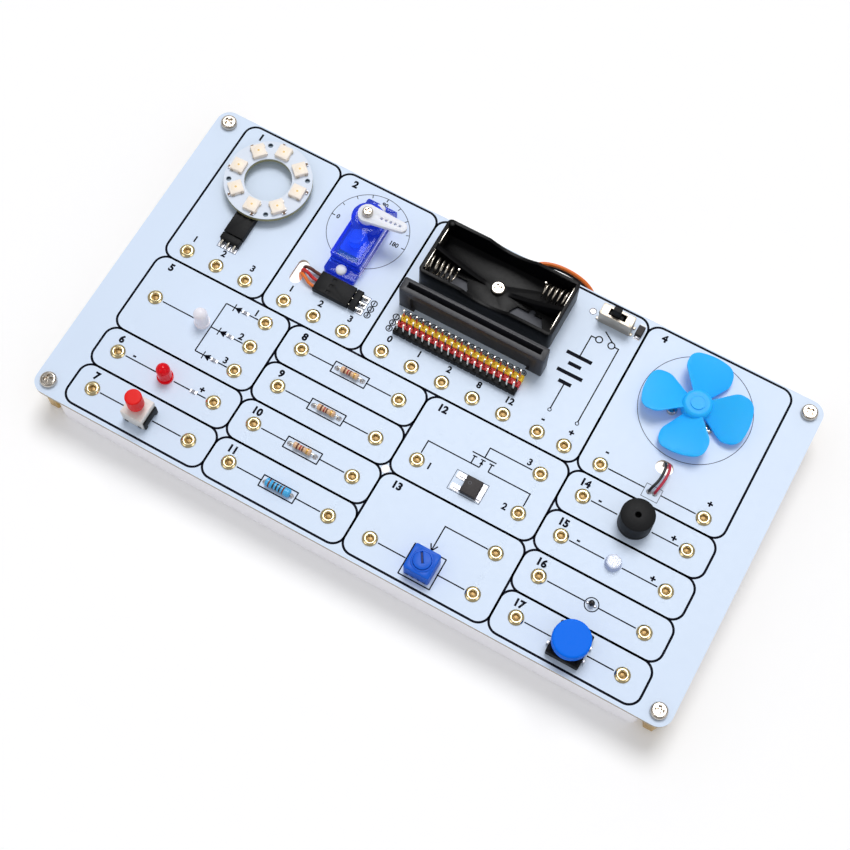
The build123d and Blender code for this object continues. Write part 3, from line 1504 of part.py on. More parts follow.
with BuildPart() as tan_resistors:
    for y in row_y[:3]:
        add(resistor(y, tan_radius, tan_length))
tan_resistors.part.label = "tan_resistors"
export_step(tan_resistors.part, "parts/tan_resistors.step")

with BuildPart() as blue_resistor:
    add(resistor(row_y[3], blue_radius, blue_length))
blue_resistor.part.label = "blue_resistor"
export_step(blue_resistor.part, "parts/blue_resistor.step")

# Power transistor: moulded body, wide tab at the right, two leads at the left
mosfet_y = row_y[1]
with BuildPart() as mosfet:
    with BuildSketch(Plane.XY.offset(board_top + mosfet_lead_thickness / 2)):
        with Locations((mosfet_x, mosfet_y)):
            Rectangle(mosfet_body_length, mosfet_body_width)
    extrude(amount=mosfet_body_height - mosfet_lead_thickness / 2, taper=3)
    with BuildSketch(deck):
        with Locations((mosfet_x + (mosfet_body_length + mosfet_tab_reach) / 2 - 0.5, mosfet_y)):
            Rectangle(mosfet_tab_reach + 1.0, mosfet_tab_width)
        for side in (-1, 1):
            lead_middle = mosfet_x - (mosfet_body_length + mosfet_lead_reach) / 2 + 0.5
            with Locations((lead_middle, mosfet_y + side * mosfet_lead_pitch / 2)):
                Rectangle(mosfet_lead_reach + 1.0, mosfet_lead_width)
    extrude(amount=mosfet_lead_thickness)
mosfet.part.label = "mosfet"
export_step(mosfet.part, "parts/mosfet.step")

# Trimmer: square body with a round well, and a rotor with a screwdriver slot
with BuildPart() as trimpot_body:
    with BuildSketch(deck):
        with Locations((trimmer_x, trimmer_y)):
            Rectangle(trimmer_size, trimmer_size)
    extrude(amount=trimmer_height)
    chamfer(trimpot_body.edges().filter_by(Axis.Z), trimmer_corner)
    with BuildSketch(Plane.XY.offset(board_top + trimmer_height)):
        with Locations((trimmer_x, trimmer_y)):
            Circle(rotor_radius + fit_gap)
    extrude(amount=rotor_floor - trimmer_height, mode=Mode.SUBTRACT)
trimpot_body.part.label = "trimpot_body"
export_step(trimpot_body.part, "parts/trimpot_body.step")

slot_reach = rotor_slot_length / 2 - rotor_radius / 3
with BuildPart() as trimpot_rotor:
    with BuildSketch(Plane.XY.offset(board_top + rotor_floor + slide_gap)):
        with Locations((trimmer_x, trimmer_y)):
            Circle(rotor_radius)
    extrude(amount=rotor_top - rotor_floor - slide_gap)
    with BuildSketch(Plane.XY.offset(board_top + rotor_top)):
        with Locations(Location((trimmer_x, trimmer_y, 0), (0, 0, rotor_slot_angle))):
            with Locations((slot_reach, 0)):
                Rectangle(rotor_slot_length, rotor_slot_width)
    extrude(amount=-rotor_slot_depth, mode=Mode.SUBTRACT)
trimpot_rotor.part.label = "trimpot_rotor"
export_step(trimpot_rotor.part, "parts/trimpot_rotor.step")
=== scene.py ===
"""A microcontroller experiment kit: a white printed board on a moulded tray, dressed for rendering.
"""

import math

import bmesh
import bpy
import numpy as np
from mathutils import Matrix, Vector


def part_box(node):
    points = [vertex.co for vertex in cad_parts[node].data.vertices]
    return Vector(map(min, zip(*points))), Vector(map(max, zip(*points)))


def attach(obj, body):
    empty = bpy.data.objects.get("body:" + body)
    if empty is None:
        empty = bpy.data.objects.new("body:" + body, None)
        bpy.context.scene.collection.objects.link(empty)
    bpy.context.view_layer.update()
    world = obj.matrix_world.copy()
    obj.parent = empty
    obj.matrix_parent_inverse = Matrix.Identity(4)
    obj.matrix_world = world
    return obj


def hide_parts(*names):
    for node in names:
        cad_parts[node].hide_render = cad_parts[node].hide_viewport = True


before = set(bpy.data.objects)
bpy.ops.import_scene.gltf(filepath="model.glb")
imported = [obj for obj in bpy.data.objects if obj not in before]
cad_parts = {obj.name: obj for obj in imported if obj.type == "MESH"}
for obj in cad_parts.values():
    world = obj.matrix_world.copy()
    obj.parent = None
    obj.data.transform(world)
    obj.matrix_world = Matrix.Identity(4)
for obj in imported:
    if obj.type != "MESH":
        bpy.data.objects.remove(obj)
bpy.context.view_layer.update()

MM = 0.001
KIT = "kit"
board_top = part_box("main_board")[1][2] / MM


def low(node):
    """A node's lowest corner."""
    return np.array(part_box(node)[0]) / MM - (0, 0, board_top)


def high(node):
    """A node's highest corner."""
    return np.array(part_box(node)[1]) / MM - (0, 0, board_top)


def middle(node):
    """The centre of a node's box."""
    return (low(node) + high(node)) / 2


# Finishes


def colour(red, green, blue):
    """A colour given by its eight-bit display values, as the linear values that shaders take."""
    shares = np.array([red, green, blue]) / 255
    linear = np.where(shares <= 0.04045, shares / 12.92, ((shares + 0.055) / 1.055) ** 2.4)
    return (*linear.tolist(), 1.0)


def node(tree, kind, **sockets):
    """A shader node with its named inputs set."""
    made = tree.nodes.new(kind)
    for name, value in sockets.items():
        made.inputs[name.replace("_", " ")].default_value = value
    return made


def sum_node(tree, operation):
    """A node that does one sum."""
    made = tree.nodes.new("ShaderNodeMath")
    made.operation = operation
    return made


def finish(
    name, tint, roughness, metallic=0.0, grain=900, mottle=0.05, relief=0.02, slot=None, glow=None, **sockets
):
    """A moulded, plated or painted surface, whose slot argument is not used.

    Fine noise in object space varies the roughness a little and lifts the surface by the relief in
    millimetres, and a broader noise, eight times as large, varies the tint by the mottle's share. The glow,
    a display colour and a strength, is painted light that brightens the surface.
    """
    material = bpy.data.materials.new(name)
    material.use_nodes = True
    tree = material.node_tree
    join = tree.links.new
    shader = tree.nodes["Principled BSDF"]
    shader.inputs["Metallic"].default_value = metallic
    if glow:
        shader.inputs["Emission Color"].default_value = colour(*glow[:3])
        shader.inputs["Emission Strength"].default_value = glow[3]
    for socket, value in sockets.items():
        shader.inputs[socket.replace("_", " ")].default_value = value
    place = tree.nodes.new("ShaderNodeTexCoord")
    fine = node(tree, "ShaderNodeTexNoise", Scale=grain, Detail=3.0)
    broad = node(tree, "ShaderNodeTexNoise", Scale=grain / 8, Detail=2.0)
    for noise in (fine, broad):
        join(place.outputs["Object"], noise.inputs["Vector"])
    mix = tree.nodes.new("ShaderNodeMix")
    mix.data_type = "RGBA"
    shares = colour(*tint)[:3]
    mix.inputs["A"].default_value = [share * (1 - mottle) for share in shares] + [1.0]
    mix.inputs["B"].default_value = [min(1.0, share * (1 + mottle)) for share in shares] + [1.0]
    join(broad.outputs["Fac"], mix.inputs["Factor"])
    join(mix.outputs["Result"], shader.inputs["Base Color"])
    gloss = node(
        tree, "ShaderNodeMapRange", To_Min=max(0.0, roughness - 0.06), To_Max=min(1.0, roughness + 0.06)
    )
    join(fine.outputs["Fac"], gloss.inputs["Value"])
    join(gloss.outputs["Result"], shader.inputs["Roughness"])
    bump = node(tree, "ShaderNodeBump", Distance=relief * MM, Strength=0.6)
    join(fine.outputs["Fac"], bump.inputs["Height"])
    join(bump.outputs["Normal"], shader.inputs["Normal"])
    return material


def height_test(tree, operation, level, span=0.0):
    """A socket that compares the height above the board's top with a level, by a sum node's operation."""
    place = tree.nodes.new("ShaderNodeTexCoord")
    parts = tree.nodes.new("ShaderNodeSeparateXYZ")
    test = sum_node(tree, operation)
    test.inputs[1].default_value = (board_top + level) * MM
    test.inputs[2].default_value = span * MM
    tree.links.new(place.outputs["Object"], parts.inputs[0])
    tree.links.new(parts.outputs["Z"], test.inputs[0])
    return test.outputs[0]


def edge_tint(material, level, tint):
    """Gives a sheet's cut edges their own colour: all that lies below a height."""
    tree = material.node_tree
    base = tree.nodes["Principled BSDF"].inputs["Base Color"]
    mix = tree.nodes.new("ShaderNodeMix")
    mix.data_type = "RGBA"
    mix.inputs["B"].default_value = colour(*tint)
    tree.links.new(height_test(tree, "LESS_THAN", level), mix.inputs["Factor"])
    tree.links.new(base.links[0].from_socket, mix.inputs["A"])
    tree.links.new(mix.outputs["Result"], base)
    return material


def bright_floor(material, level, strength, everywhere):
    """Paints light on a tray: a faint glow all over, which brightens its walls, and a stronger one on its
    floor, which shows white through the slots.
    """
    tree = material.node_tree
    shader = tree.nodes["Principled BSDF"]
    power = sum_node(tree, "MULTIPLY_ADD")
    power.inputs[1].default_value = strength
    power.inputs[2].default_value = everywhere
    tree.links.new(height_test(tree, "COMPARE", level, 0.05), power.inputs[0])
    tree.links.new(power.outputs[0], shader.inputs["Emission Strength"])
    shader.inputs["Emission Color"].default_value = (1.0, 1.0, 1.0, 1.0)
    return material


def metal(name, tint, roughness, grain, mottle, **more):
    """A bare or plated metal."""
    return finish(name, tint, roughness, 1.0, grain, mottle, **more)


board_white = finish("board_white", (213, 229, 251), 0.38, grain=500, mottle=0.012, relief=0.004)
edge_tint(board_white, -0.05, (178, 168, 150))
INK = {"grain": 1500, "slot": "board_white"}
ink = finish("printed_ink", (8, 11, 26), 0.6, mottle=0.15, Specular_IOR_Level=0.08, **INK)
fine_ink = finish("printed_grey", (78, 82, 98), 0.6, mottle=0.1, Specular_IOR_Level=0.1, **INK)
tray_white = finish("tray_white", (243, 242, 249), 0.42, grain=700, mottle=0.02)
# painted light: the tray glows faintly all over and more strongly on its floor
bright_floor(tray_white, low("base_tray")[2] + 1.5, 0.75, 0.12)

nickel = metal("nickel", (204, 196, 186), 0.16, 1200, 0.08)
brass = metal("brass", (206, 172, 104), 0.28, 900, 0.08)
terminal_brass = metal("terminal_brass", (232, 214, 168), 0.13, 1100, 0.1)
bore_brass = metal("bore_brass", (150, 124, 84), 0.42, 2600, 0.3, relief=0.06, slot="terminal_brass")
tinned = metal("tinned_sheet", (200, 190, 176), 0.4, 1400, 0.12, slot="solder_metal")
solder = metal("solder", (206, 206, 212), 0.38, 1600, 0.14, relief=0.08, slot="solder_metal")
pin_gold = metal("pin_gold", (206, 176, 118), 0.24, 1500, 0.1)
pin_bright = metal("pin_bright", (236, 230, 216), 0.22, 1500, 0.06, slot="pin_gold")
spring_steel = metal("spring_steel", (222, 214, 202), 0.18, 1400, 0.1)

ring_white = finish("ring_white", (220, 230, 246), 0.42, mottle=0.03)
# the holes' plating, and painted shade: the grey plugs across the ring's holes
hole_plating_and_shade = finish("hole_plating_and_shade", (122, 134, 146), 0.45, 0.6, 1800, 0.15, slot="solder_metal")
led_cream = finish("led_cream", (252, 241, 228), 0.5, mottle=0.02)
led_lens = finish("led_lens", (249, 234, 214), 0.3, grain=1600, mottle=0.06, slot="led_cream")
led_die = finish("led_die", (206, 172, 104), 0.4, 0.3, 1600, 0.1, slot="pin_gold")
capacitor_brown = finish("capacitor_brown", (124, 96, 72), 0.5, grain=1800, mottle=0.15, slot="solder_metal")

black_plastic = finish(
    "black_plastic", (14, 15, 18), 0.52, grain=1200, mottle=0.15, relief=0.01, Specular_IOR_Level=0.2
)
holder_black = finish("holder_black", (4, 4, 6), 0.34, grain=1000, mottle=0.15, Specular_IOR_Level=0.14)
connector_black = finish(
    "connector_black", (44, 45, 52), 0.42, grain=1000, mottle=0.1, Specular_IOR_Level=0.4
)
BLACK = {"mottle": 0.12, "slot": "black_plastic"}
# A grey that is painted shade under the battery holder and in the gaps at the lock's foot, and the colour of
# the transistor's dot
shade_and_mark_grey = finish("shade_and_mark_grey", (84, 86, 94), 0.5, Specular_IOR_Level=0.3, **BLACK)
bead_black = finish("bead_black", (22, 22, 26), 0.16, grain=1500, **BLACK)
transistor_black = finish("transistor_black", (46, 41, 42), 0.5, grain=1800, Specular_IOR_Level=0.3, **BLACK)
chip_grey = finish("chip_grey", (150, 152, 162), 0.5, grain=1500, mottle=0.12, slot="chip_black")

# painted light: the servo case's glow brightens its deep blue
servo_blue = finish(
    "servo_blue",
    (84, 134, 252),
    0.08,
    grain=700,
    mottle=0.04,
    relief=0.0,
    glow=(16, 60, 235, 0.1),
    Transmission_Weight=0.88,
    IOR=1.3,
    Specular_IOR_Level=0.35,
)
SERVO = {"slot": "servo_blue"}
# painted light: the gears and the core glow a little
gear_blue = finish("servo_gear_blue", (70, 128, 244), 0.5, mottle=0.06, glow=(40, 100, 240, 0.1), **SERVO)
circuit_green = finish("servo_circuit_green", (40, 128, 140), 0.5, grain=1500, mottle=0.2, **SERVO)
core_navy = finish("servo_core_navy", (22, 50, 176), 0.5, mottle=0.1, glow=(12, 36, 180, 0.06), **SERVO)
nylon = finish("nylon_white", (240, 240, 248), 0.4, mottle=0.02, Subsurface_Weight=0.08)

lead_brown = finish("lead_brown", (92, 44, 30), 0.4, mottle=0.1)
lead_red = finish("lead_red", (206, 30, 32), 0.4, mottle=0.08)
fan_red = finish("fan_lead_red", (190, 28, 62), 0.4, mottle=0.08, slot="lead_red")
lead_orange = finish("lead_orange", (238, 118, 34), 0.4, mottle=0.08)
lead_black = finish("lead_black", (26, 30, 32), 0.4, mottle=0.1)

# painted light: the yellow strip glows a little, which brightens it
strip_yellow = finish("strip_yellow", (254, 208, 40), 0.4, glow=(250, 190, 30, 0.1))
strip_red = finish("strip_red", (206, 14, 24), 0.36, mottle=0.06)
# painted light: the propeller's glow stands in for light passing through its blades
fan_blue = finish(
    "propeller_blue",
    (34, 180, 254),
    0.42,
    grain=600,
    mottle=0.02,
    relief=0.005,
    glow=(20, 168, 255, 0.12),
    Subsurface_Weight=0.3,
    Subsurface_Scale=0.003,
    Specular_IOR_Level=0.3,
)
cap_blue = finish("cap_blue", (0, 114, 248), 0.5, grain=800, mottle=0.02, Specular_IOR_Level=0.12)
lock_white = finish("lock_white", (232, 229, 226), 0.42, mottle=0.03)
cap_red = finish("cap_red", (236, 14, 10), 0.45, mottle=0.03, Specular_IOR_Level=0.25)
trimmer_blue = finish("trimmer_blue", (6, 94, 216), 0.4, Specular_IOR_Level=0.25)
# painted shade: a darker blue for the trimmer's slot floor and the gaps at its foot
trimmer_painted_shade = finish("trimmer_slot", (14, 40, 110), 0.5, mottle=0.1, slot="trimmer_blue")


def lamp_plastic(name, tint, roughness, grain, mottle, clear, bend, glow):
    """A lamp's cast resin: how much light goes through it, how far it bends, and its glow, which is painted
    light that brightens the resin.
    """
    return finish(
        name, tint, roughness, 0.0, grain, mottle, 0.0, None, glow, Transmission_Weight=clear, IOR=bend
    )


# painted light: the light cell's dome and both lamp domes glow a little
lamp_clear = lamp_plastic("lamp_clear", (246, 249, 255), 0.05, 600, 0.01, 0.88, 1.18, (226, 232, 250, 0.1))
lamp_red = lamp_plastic("lamp_red", (236, 16, 34), 0.08, 700, 0.04, 0.35, 1.3, (236, 8, 26, 0.14))
lamp_milky = lamp_plastic("lamp_milky", (243, 241, 248), 0.16, 700, 0.02, 0.12, 1.3, (236, 234, 246, 0.12))
lamp_frame = finish("lamp_frame", (180, 60, 60), 0.35, 0.6, 1500, 0.1, slot="solder_metal")
cell_disc = finish("cell_disc", (206, 210, 222), 0.4, grain=1800, slot="lamp_clear")
cell_track = finish("cell_track", (250, 250, 252), 0.35, grain=1800, mottle=0.03, slot="lamp_clear")

resistor_tan = finish("resistor_tan", (228, 186, 146), 0.3)
resistor_blue = finish("resistor_blue", (70, 178, 236), 0.28)
BAND = {"grain": 1500, "mottle": 0.12, "slot": "resistor_tan"}
band_brown = finish("band_brown", (112, 56, 34), 0.35, **BAND)
band_black = finish("band_black", (34, 30, 36), 0.35, **BAND)
band_red = finish("band_red", (176, 44, 40), 0.35, **BAND)
band_gold = finish("band_gold", (206, 158, 78), 0.32, 0.5, **BAND)

for name, material in (
    ("main_board", board_white),
    ("base_tray", tray_white),
    ("standoffs", brass),
    ("servo_output_shaft", nylon),
    ("motor_shaft", spring_steel),
):
    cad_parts[name].data.materials.clear()
    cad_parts[name].data.materials.append(material)


# Shapes: each is an array of points and a list of faces


def skin(grid, loop=False):
    """The surface through a grid of points: four-sided faces between neighbouring rows and columns.

    Each row is closed, and its columns run anticlockwise about the way the rows go. A loop joins the last
    row to the first, and otherwise one face closes each end row.
    """
    rows, columns = grid.shape[:2]
    row = np.arange(rows if loop else rows - 1)[:, None]
    column = np.arange(columns)[None, :]
    next_row = (row + 1) % rows
    next_column = (column + 1) % columns
    corners = [
        row * columns + column,
        row * columns + next_column,
        next_row * columns + next_column,
        next_row * columns + column,
    ]
    faces = np.stack(corners, -1).reshape(-1, 4).tolist()
    if not loop:
        faces.append(list(range(columns))[::-1])
        faces.append(list(range((rows - 1) * columns, rows * columns)))
    return grid.reshape(-1, 3), faces


def stacked(outlines, heights):
    """An upright solid through plan outlines, each at its height."""
    rows = [np.column_stack([plan, np.full(len(plan), height)]) for plan, height in zip(outlines, heights)]
    return skin(np.array(rows))


def lathe(profile, centre=(0, 0), steps=64, loop=False):
    """A turned shape: each profile point, a radius and a height, carried round a vertical axis.

    The profile climbs the outside from the foot and ends at the top. A loop goes on down its bore.
    """
    profile = np.array(profile, float)
    angle = np.linspace(0, 2 * math.pi, steps, endpoint=False)
    radius = profile[:, :1]
    z = np.repeat(profile[:, 1:], steps, axis=1)
    x = centre[0] + radius * np.cos(angle)
    y = centre[1] + radius * np.sin(angle)
    return skin(np.stack([x, y, z], -1), loop)


def shoulder(radius, top, inset, drop, start=0.1, end=1.5, steps=8):
    """A profile's rounded shoulder, by an angle from its foot to its top.

    The radius falls by the inset times one less the cosine while the height climbs to the top by the drop
    times the sine.
    """
    turn = np.linspace(start, end, steps)
    return [(radius - inset * (1 - math.cos(t)), top - drop * (1 - math.sin(t))) for t in turn]


def rounded_outline(length, width, radius=0.05, steps=2, centre=(0, 0)):
    """A rectangle's outline with quarter-circle corners: a corner's centre plus the radius along an angle."""
    angle = np.radians(90 * np.arange(4)[:, None] + np.linspace(0, 90, steps)[None, :])
    side_x = np.array([1, -1, -1, 1])[:, None] * (length / 2 - radius)
    side_y = np.array([1, 1, -1, -1])[:, None] * (width / 2 - radius)
    corners = np.stack([side_x + radius * np.cos(angle), side_y + radius * np.sin(angle)], -1)
    return corners.reshape(-1, 2) + np.array(centre)


def block(x, y, length, width, foot, top, radius, edge, foot_edge=0.0):
    """A block centred on a point, with rounded upright edges.

    Its outline draws in towards the top by the edge radius times one less the cosine of an angle while it
    climbs by the radius times the sine, which is a quarter circle, and towards the foot in the same way.
    """
    turn = np.linspace(0, math.pi / 2, 4)
    insets = [edge * (1 - math.cos(t)) for t in turn]
    heights = [top - edge + edge * math.sin(t) for t in turn]
    if foot_edge:
        insets = [foot_edge * (1 - math.cos(t)) for t in turn[::-1]] + insets
        heights = [foot + foot_edge * (1 - math.sin(t)) for t in turn[::-1]] + heights
    else:
        insets = [0.0] + insets
        heights = [foot] + heights
    outlines = [
        rounded_outline(length - 2 * inset, width - 2 * inset, max(radius - inset, 0.01), 6, (x, y))
        for inset in insets
    ]
    return stacked(outlines, heights)


def placed(shape, x=0.0, y=0.0, z=0.0, turn=0.0):
    """A shape turned about the upright axis by an angle in degrees, and then shifted."""
    points, faces = shape
    angle = math.radians(turn)
    turned = np.array([[math.cos(angle), math.sin(angle)], [-math.sin(angle), math.cos(angle)]])
    return np.column_stack([points[:, :2] @ turned + (x, y), points[:, 2] + z]), faces


def mesh_object(name, shapes, material, sharp=32.0):
    """One object of several shapes, smooth but for its sharp edges."""
    points = np.concatenate([shape[0] for shape in shapes]) + (0, 0, board_top)
    faces = []
    first = 0
    for shape_points, shape_faces in shapes:
        faces += [[first + corner for corner in face] for face in shape_faces]
        first += len(shape_points)
    mesh = bpy.data.meshes.new(name)
    mesh.from_pydata((points * MM).tolist(), [], faces)
    mesh.update()
    mesh.shade_smooth()
    mesh.set_sharp_from_angle(angle=math.radians(sharp))
    mesh.materials.append(material)
    return linked(name, mesh)


def linked(name, data):
    """An object in the scene."""
    made = bpy.data.objects.new(name, data)
    bpy.context.scene.collection.objects.link(made)
    return made


def fitted(made, body=KIT, replaces=None):
    """Puts an object on its body, and lets it stand for a CAD node."""
    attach(made, body)
    if replaces:
        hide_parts(replaces)
    return made


def piece(name, shapes, material, replaces=None, body=KIT):
    return fitted(mesh_object(name, shapes, material), body, replaces)


def softened(source, material, edge=0.0, body=KIT, sharp=32.0):
    """A CAD node's merged copy that stands for it: smooth on round faces, with its hard edges rounded."""
    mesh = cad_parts[source].data.copy()
    shell = bmesh.new()
    shell.from_mesh(mesh)
    bmesh.ops.remove_doubles(shell, verts=shell.verts, dist=0.003 * MM)
    bmesh.ops.dissolve_limit(shell, angle_limit=math.radians(0.3), verts=shell.verts, edges=shell.edges)
    if edge:
        joined = [seam for seam in shell.edges if len(seam.link_faces) == 2]
        hard = [seam for seam in joined if seam.calc_face_angle(0.0) > math.radians(sharp)]
        bmesh.ops.bevel(
            shell, geom=hard, offset=edge * MM, segments=2, profile=0.5, affect="EDGES", clamp_overlap=True
        )
    shell.to_mesh(mesh)
    shell.free()
    mesh.materials.clear()
    mesh.materials.append(material)
    mesh.shade_smooth()
    mesh.set_sharp_from_angle(angle=math.radians(sharp + 6))
    return fitted(linked(source + "_finished", mesh), body, source)


def cut(target, shapes):
    """Takes shapes out of an object by one boolean, and deletes the cutter."""
    cutter = mesh_object("cutter", shapes, ink)
    modifier = target.modifiers.new("cut", "BOOLEAN")
    modifier.operation = "DIFFERENCE"
    modifier.solver = "EXACT"
    modifier.object = cutter
    depsgraph = bpy.context.evaluated_depsgraph_get()
    result = bpy.data.meshes.new_from_object(target.evaluated_get(depsgraph))
    target.modifiers.clear()
    target.data = result
    bpy.data.objects.remove(cutter)
    target.data.shade_smooth()
    target.data.set_sharp_from_angle(angle=math.radians(32))


# Plain copies of CAD nodes: the node, its finish, its edges' radius and the body that it rides on
for copied in (
    ("plug_housings", black_plastic, 0.16),
    ("angle_headers", black_plastic, 0.2),
    ("angle_header_pins", pin_bright, 0.1),
    ("servo_bottom_cover", servo_blue, 0.2),
    ("servo_case", servo_blue, 0.35),
    ("servo_top_cover", servo_blue, 0.4),
    ("servo_horn", nylon, 0.28, "servo_output"),
    ("battery_holder", holder_black, 0.28),
    ("battery_contacts", spring_steel, 0.1),
    ("battery_springs", spring_steel, 0.0, KIT, 60.0),
    ("edge_connector", connector_black, 0.3),
    ("edge_contacts", pin_gold, 0.05),
    ("header_strip_yellow", strip_yellow, 0.18),
    ("header_strip_red", strip_red, 0.18),
    ("header_strip_black", black_plastic, 0.18),
    ("switch_can", tinned, 0.22),
    ("switch_base", black_plastic, 0.1),
    ("switch_knob", black_plastic, 0.14, "switch_slider"),
    ("propeller", fan_blue, 0.22, "fan_rotor"),
    ("motor_can", spring_steel, 0.2),
    ("tact_base", black_plastic, 0.14),
    ("tact_plunger", black_plastic, 0.12, "push_button"),
    ("lock_body", lock_white, 0.25),
    ("lock_frame", black_plastic, 0.14),
    ("trimpot_body", trimmer_blue, 0.2),
    ("trimpot_rotor", trimmer_blue, 0.15, "trimmer_rotor"),
):
    softened(*copied)


# Printed lines on the board

PRINT_FOOT = -0.02
PRINT_TOP = 0.03
FRAME_LINE = 0.82
PATH_LINE = 0.46


def line(points, width=PATH_LINE, closed=False):
    """A printed line: its path shifted to each side by half its width, square to the bisector at a corner."""
    path = np.array(points, float)
    ahead = np.roll(path, -1, axis=0) - path
    if not closed:
        ahead[-1] = ahead[-2]
    ahead /= np.linalg.norm(ahead, axis=1)[:, None]
    behind = np.roll(ahead, 1, axis=0)
    if not closed:
        behind[0] = ahead[0]
    normal_ahead = np.column_stack([-ahead[:, 1], ahead[:, 0]])
    normal_behind = np.column_stack([-behind[:, 1], behind[:, 0]])
    mitre = normal_ahead + normal_behind
    mitre /= (1 + np.sum(normal_ahead * normal_behind, axis=1))[:, None]
    left = path + mitre * width / 2
    right = path - mitre * width / 2
    sides = [(right, PRINT_FOOT), (left, PRINT_FOOT), (left, PRINT_TOP), (right, PRINT_TOP)]
    grid = np.stack([np.column_stack([side, np.full(len(path), z)]) for side, z in sides], axis=1)
    return skin(grid, loop=closed)


def ring_line(centre, radius, width, steps):
    """A printed circle."""
    angle = np.linspace(0, 2 * math.pi, steps, endpoint=False)
    circle = np.column_stack([centre[0] + radius * np.cos(angle), centre[1] + radius * np.sin(angle)])
    return line(circle, width, closed=True)


def box_line(centre, length, width, line_width=PATH_LINE):
    """A printed rectangle."""
    return line(rounded_outline(length, width, centre=centre), line_width, closed=True)


def arrow(*corners):
    """A printed triangle."""
    return stacked([np.array(corners, float)] * 2, (PRINT_FOOT, PRINT_TOP))


# The 17 frames, each by its left, lower, right and upper side
UPPER_SIDES = (-110, -70, -30, 55, 110)
FIELD_TOP = 63.1
ROW_LINES = (1.8, -14.2, -30.2, -46.2, -62.2)
fields = [(left, ROW_LINES[0], right, FIELD_TOP) for left, right in zip(UPPER_SIDES, UPPER_SIDES[1:])]
for left, right, sides in (
    (-110, -55, (1.8, -30.2, -46.2, -62.2)),
    (-55, 0, ROW_LINES),
    (0, 55, ROW_LINES[::2]),
    (55, 110, ROW_LINES),
):
    fields += [(left, foot, right, top) for top, foot in zip(sides, sides[1:])]
prints = []
for left, foot, right, top in fields:
    outline = rounded_outline(right - left, top - foot, 4.5, 12, ((left + right) / 2, (foot + top) / 2))
    prints.append(line(outline, FRAME_LINE, closed=True))

# Places of the terminals and of the parts between them
COLUMNS = (-102.3, -47.3, 7.7, 62.7)
ROWS = (-6.2, -22.2, -38.2, -54.2)
PAIR = 38.9
WIRE_END = 3.1
TOP_ROW = 6.8
SERVO_FIRST = -62.33
LAMP_ROWS = (-3.9, -14.3, -24.7)
fan_x, fan_y = middle("propeller")[:2]


def two_way(column, row, half_gap):
    """The two printed lines that join a part in the middle of a pair to its terminals."""
    centre = COLUMNS[column] + PAIR / 2
    y = ROWS[row]
    reach = PAIR / 2 - WIRE_END
    return [
        line([(centre - reach, y), (centre - half_gap, y)]),
        line([(centre + half_gap, y), (centre + reach, y)]),
    ]


for row, half_gap in enumerate((6.4, 3.2, 2.4, 6.6)):
    prints += two_way(3, row, half_gap)
for row in range(4):
    prints += two_way(1, row, 6.65)
    prints.append(box_line((COLUMNS[1] + PAIR / 2, ROWS[row]), 13.3, 4.3))
prints += two_way(0, 2, 3.4) + two_way(0, 3, 4.9) + two_way(2, 3, 5.9)
prints.append(ring_line((82.3, -38.2), 2.4, 0.36, 48))

# Colour lamp's three branches, with a diode in each
paths = [[(-99.2, -14.3), (-86.2, -14.3)], [(-79.3, -3.9), (-79.3, -24.7)]]
for y in LAMP_ROWS:
    paths += [[(-79.3, y), (-72.8, y)], [(-69.9, y), (-66.3, y)]]
    prints.append(line([(-75.9, y - 1.5), (-75.9, y + 1.5)], 0.4))
    prints.append(arrow((-75.8, y), (-73.4, y - 1.35), (-73.4, y + 1.35)))

# Fan
paths += [[(65.7, 6.9), (79.5, 6.9)], [(85.5, 6.9), (98.6, 6.9)]]
fine_prints = [ring_line((82.3, 40.8), 20.0, 0.24, 160), box_line((82.5, 6.3), 6.0, 5.0, 0.2)]

# Servo dial: circle and ticks
dial = np.array([-50.2, 45.4])
fine_prints.append(ring_line(dial, 15.0, 0.24, 128))
for degrees in np.arange(0, 180.1, 22.5):
    spoke = np.array([math.cos(math.radians(degrees)), math.sin(math.radians(degrees))])
    prints.append(line([dial + spoke * 13.7, dial + spoke * 15.1], 0.36 if degrees % 90 == 0 else 0.26))

# Battery, its switch and its terminals
BATTERY_X = 38.4
SWITCH_X = 49.0
for y, half in ((38.8, 4.9), (35.2, 2.45), (31.4, 4.9), (27.7, 2.45)):
    prints.append(line([(BATTERY_X - half, y), (BATTERY_X + half, y)], 1.4))
paths += [[(BATTERY_X, 16.9), (BATTERY_X, 27.2)], [(BATTERY_X, 38.7), (BATTERY_X, 48.2), (40.2, 48.2)]]
paths += [[(47.4, 48.2), (SWITCH_X, 48.2), (SWITCH_X, 16.9)], [(46.0, 49.4), (42.0, 52.1)]]
prints += [ring_line((x, 48.2), 1.2, 0.45, 40) for x in (41.4, 46.2)]
prints += [ring_line((x, 16.3), 0.6, 0.3, 28) for x in (BATTERY_X, SWITCH_X)]

# Transistor
paths += [[(7.7, -19.2), (7.7, -14.2), (27.4, -14.2)], [(30.8, -14.2), (46.9, -14.2), (46.9, -19.2)]]
paths += [[(22.7, -10.2), (31.9, -10.2)], [(27.4, -10.2), (27.4, -6.2), (43.5, -6.2)]]
paths += [[(start, -11.3), (end, -11.3)] for start, end in ((23.5, 25.1), (26.6, 28.3), (29.8, 31.7))]
paths += [[(x, -11.3), (x, -14.2)] for x in (24.2, 27.4, 30.8)]
prints.append(arrow((27.4, -11.5), (26.7, -13.0), (28.1, -13.0)))
fine_prints.append(box_line((27.45, -22.2), 12.2, 7.6, 0.2))

# Trimmer
prints.append(box_line((27.5, -54.05), 11.8, 11.7))
paths += [[(43.7, -38.2), (27.5, -38.2), (27.5, -47.9)], [(26.2, -45.6), (27.5, -47.9), (28.8, -45.6)]]

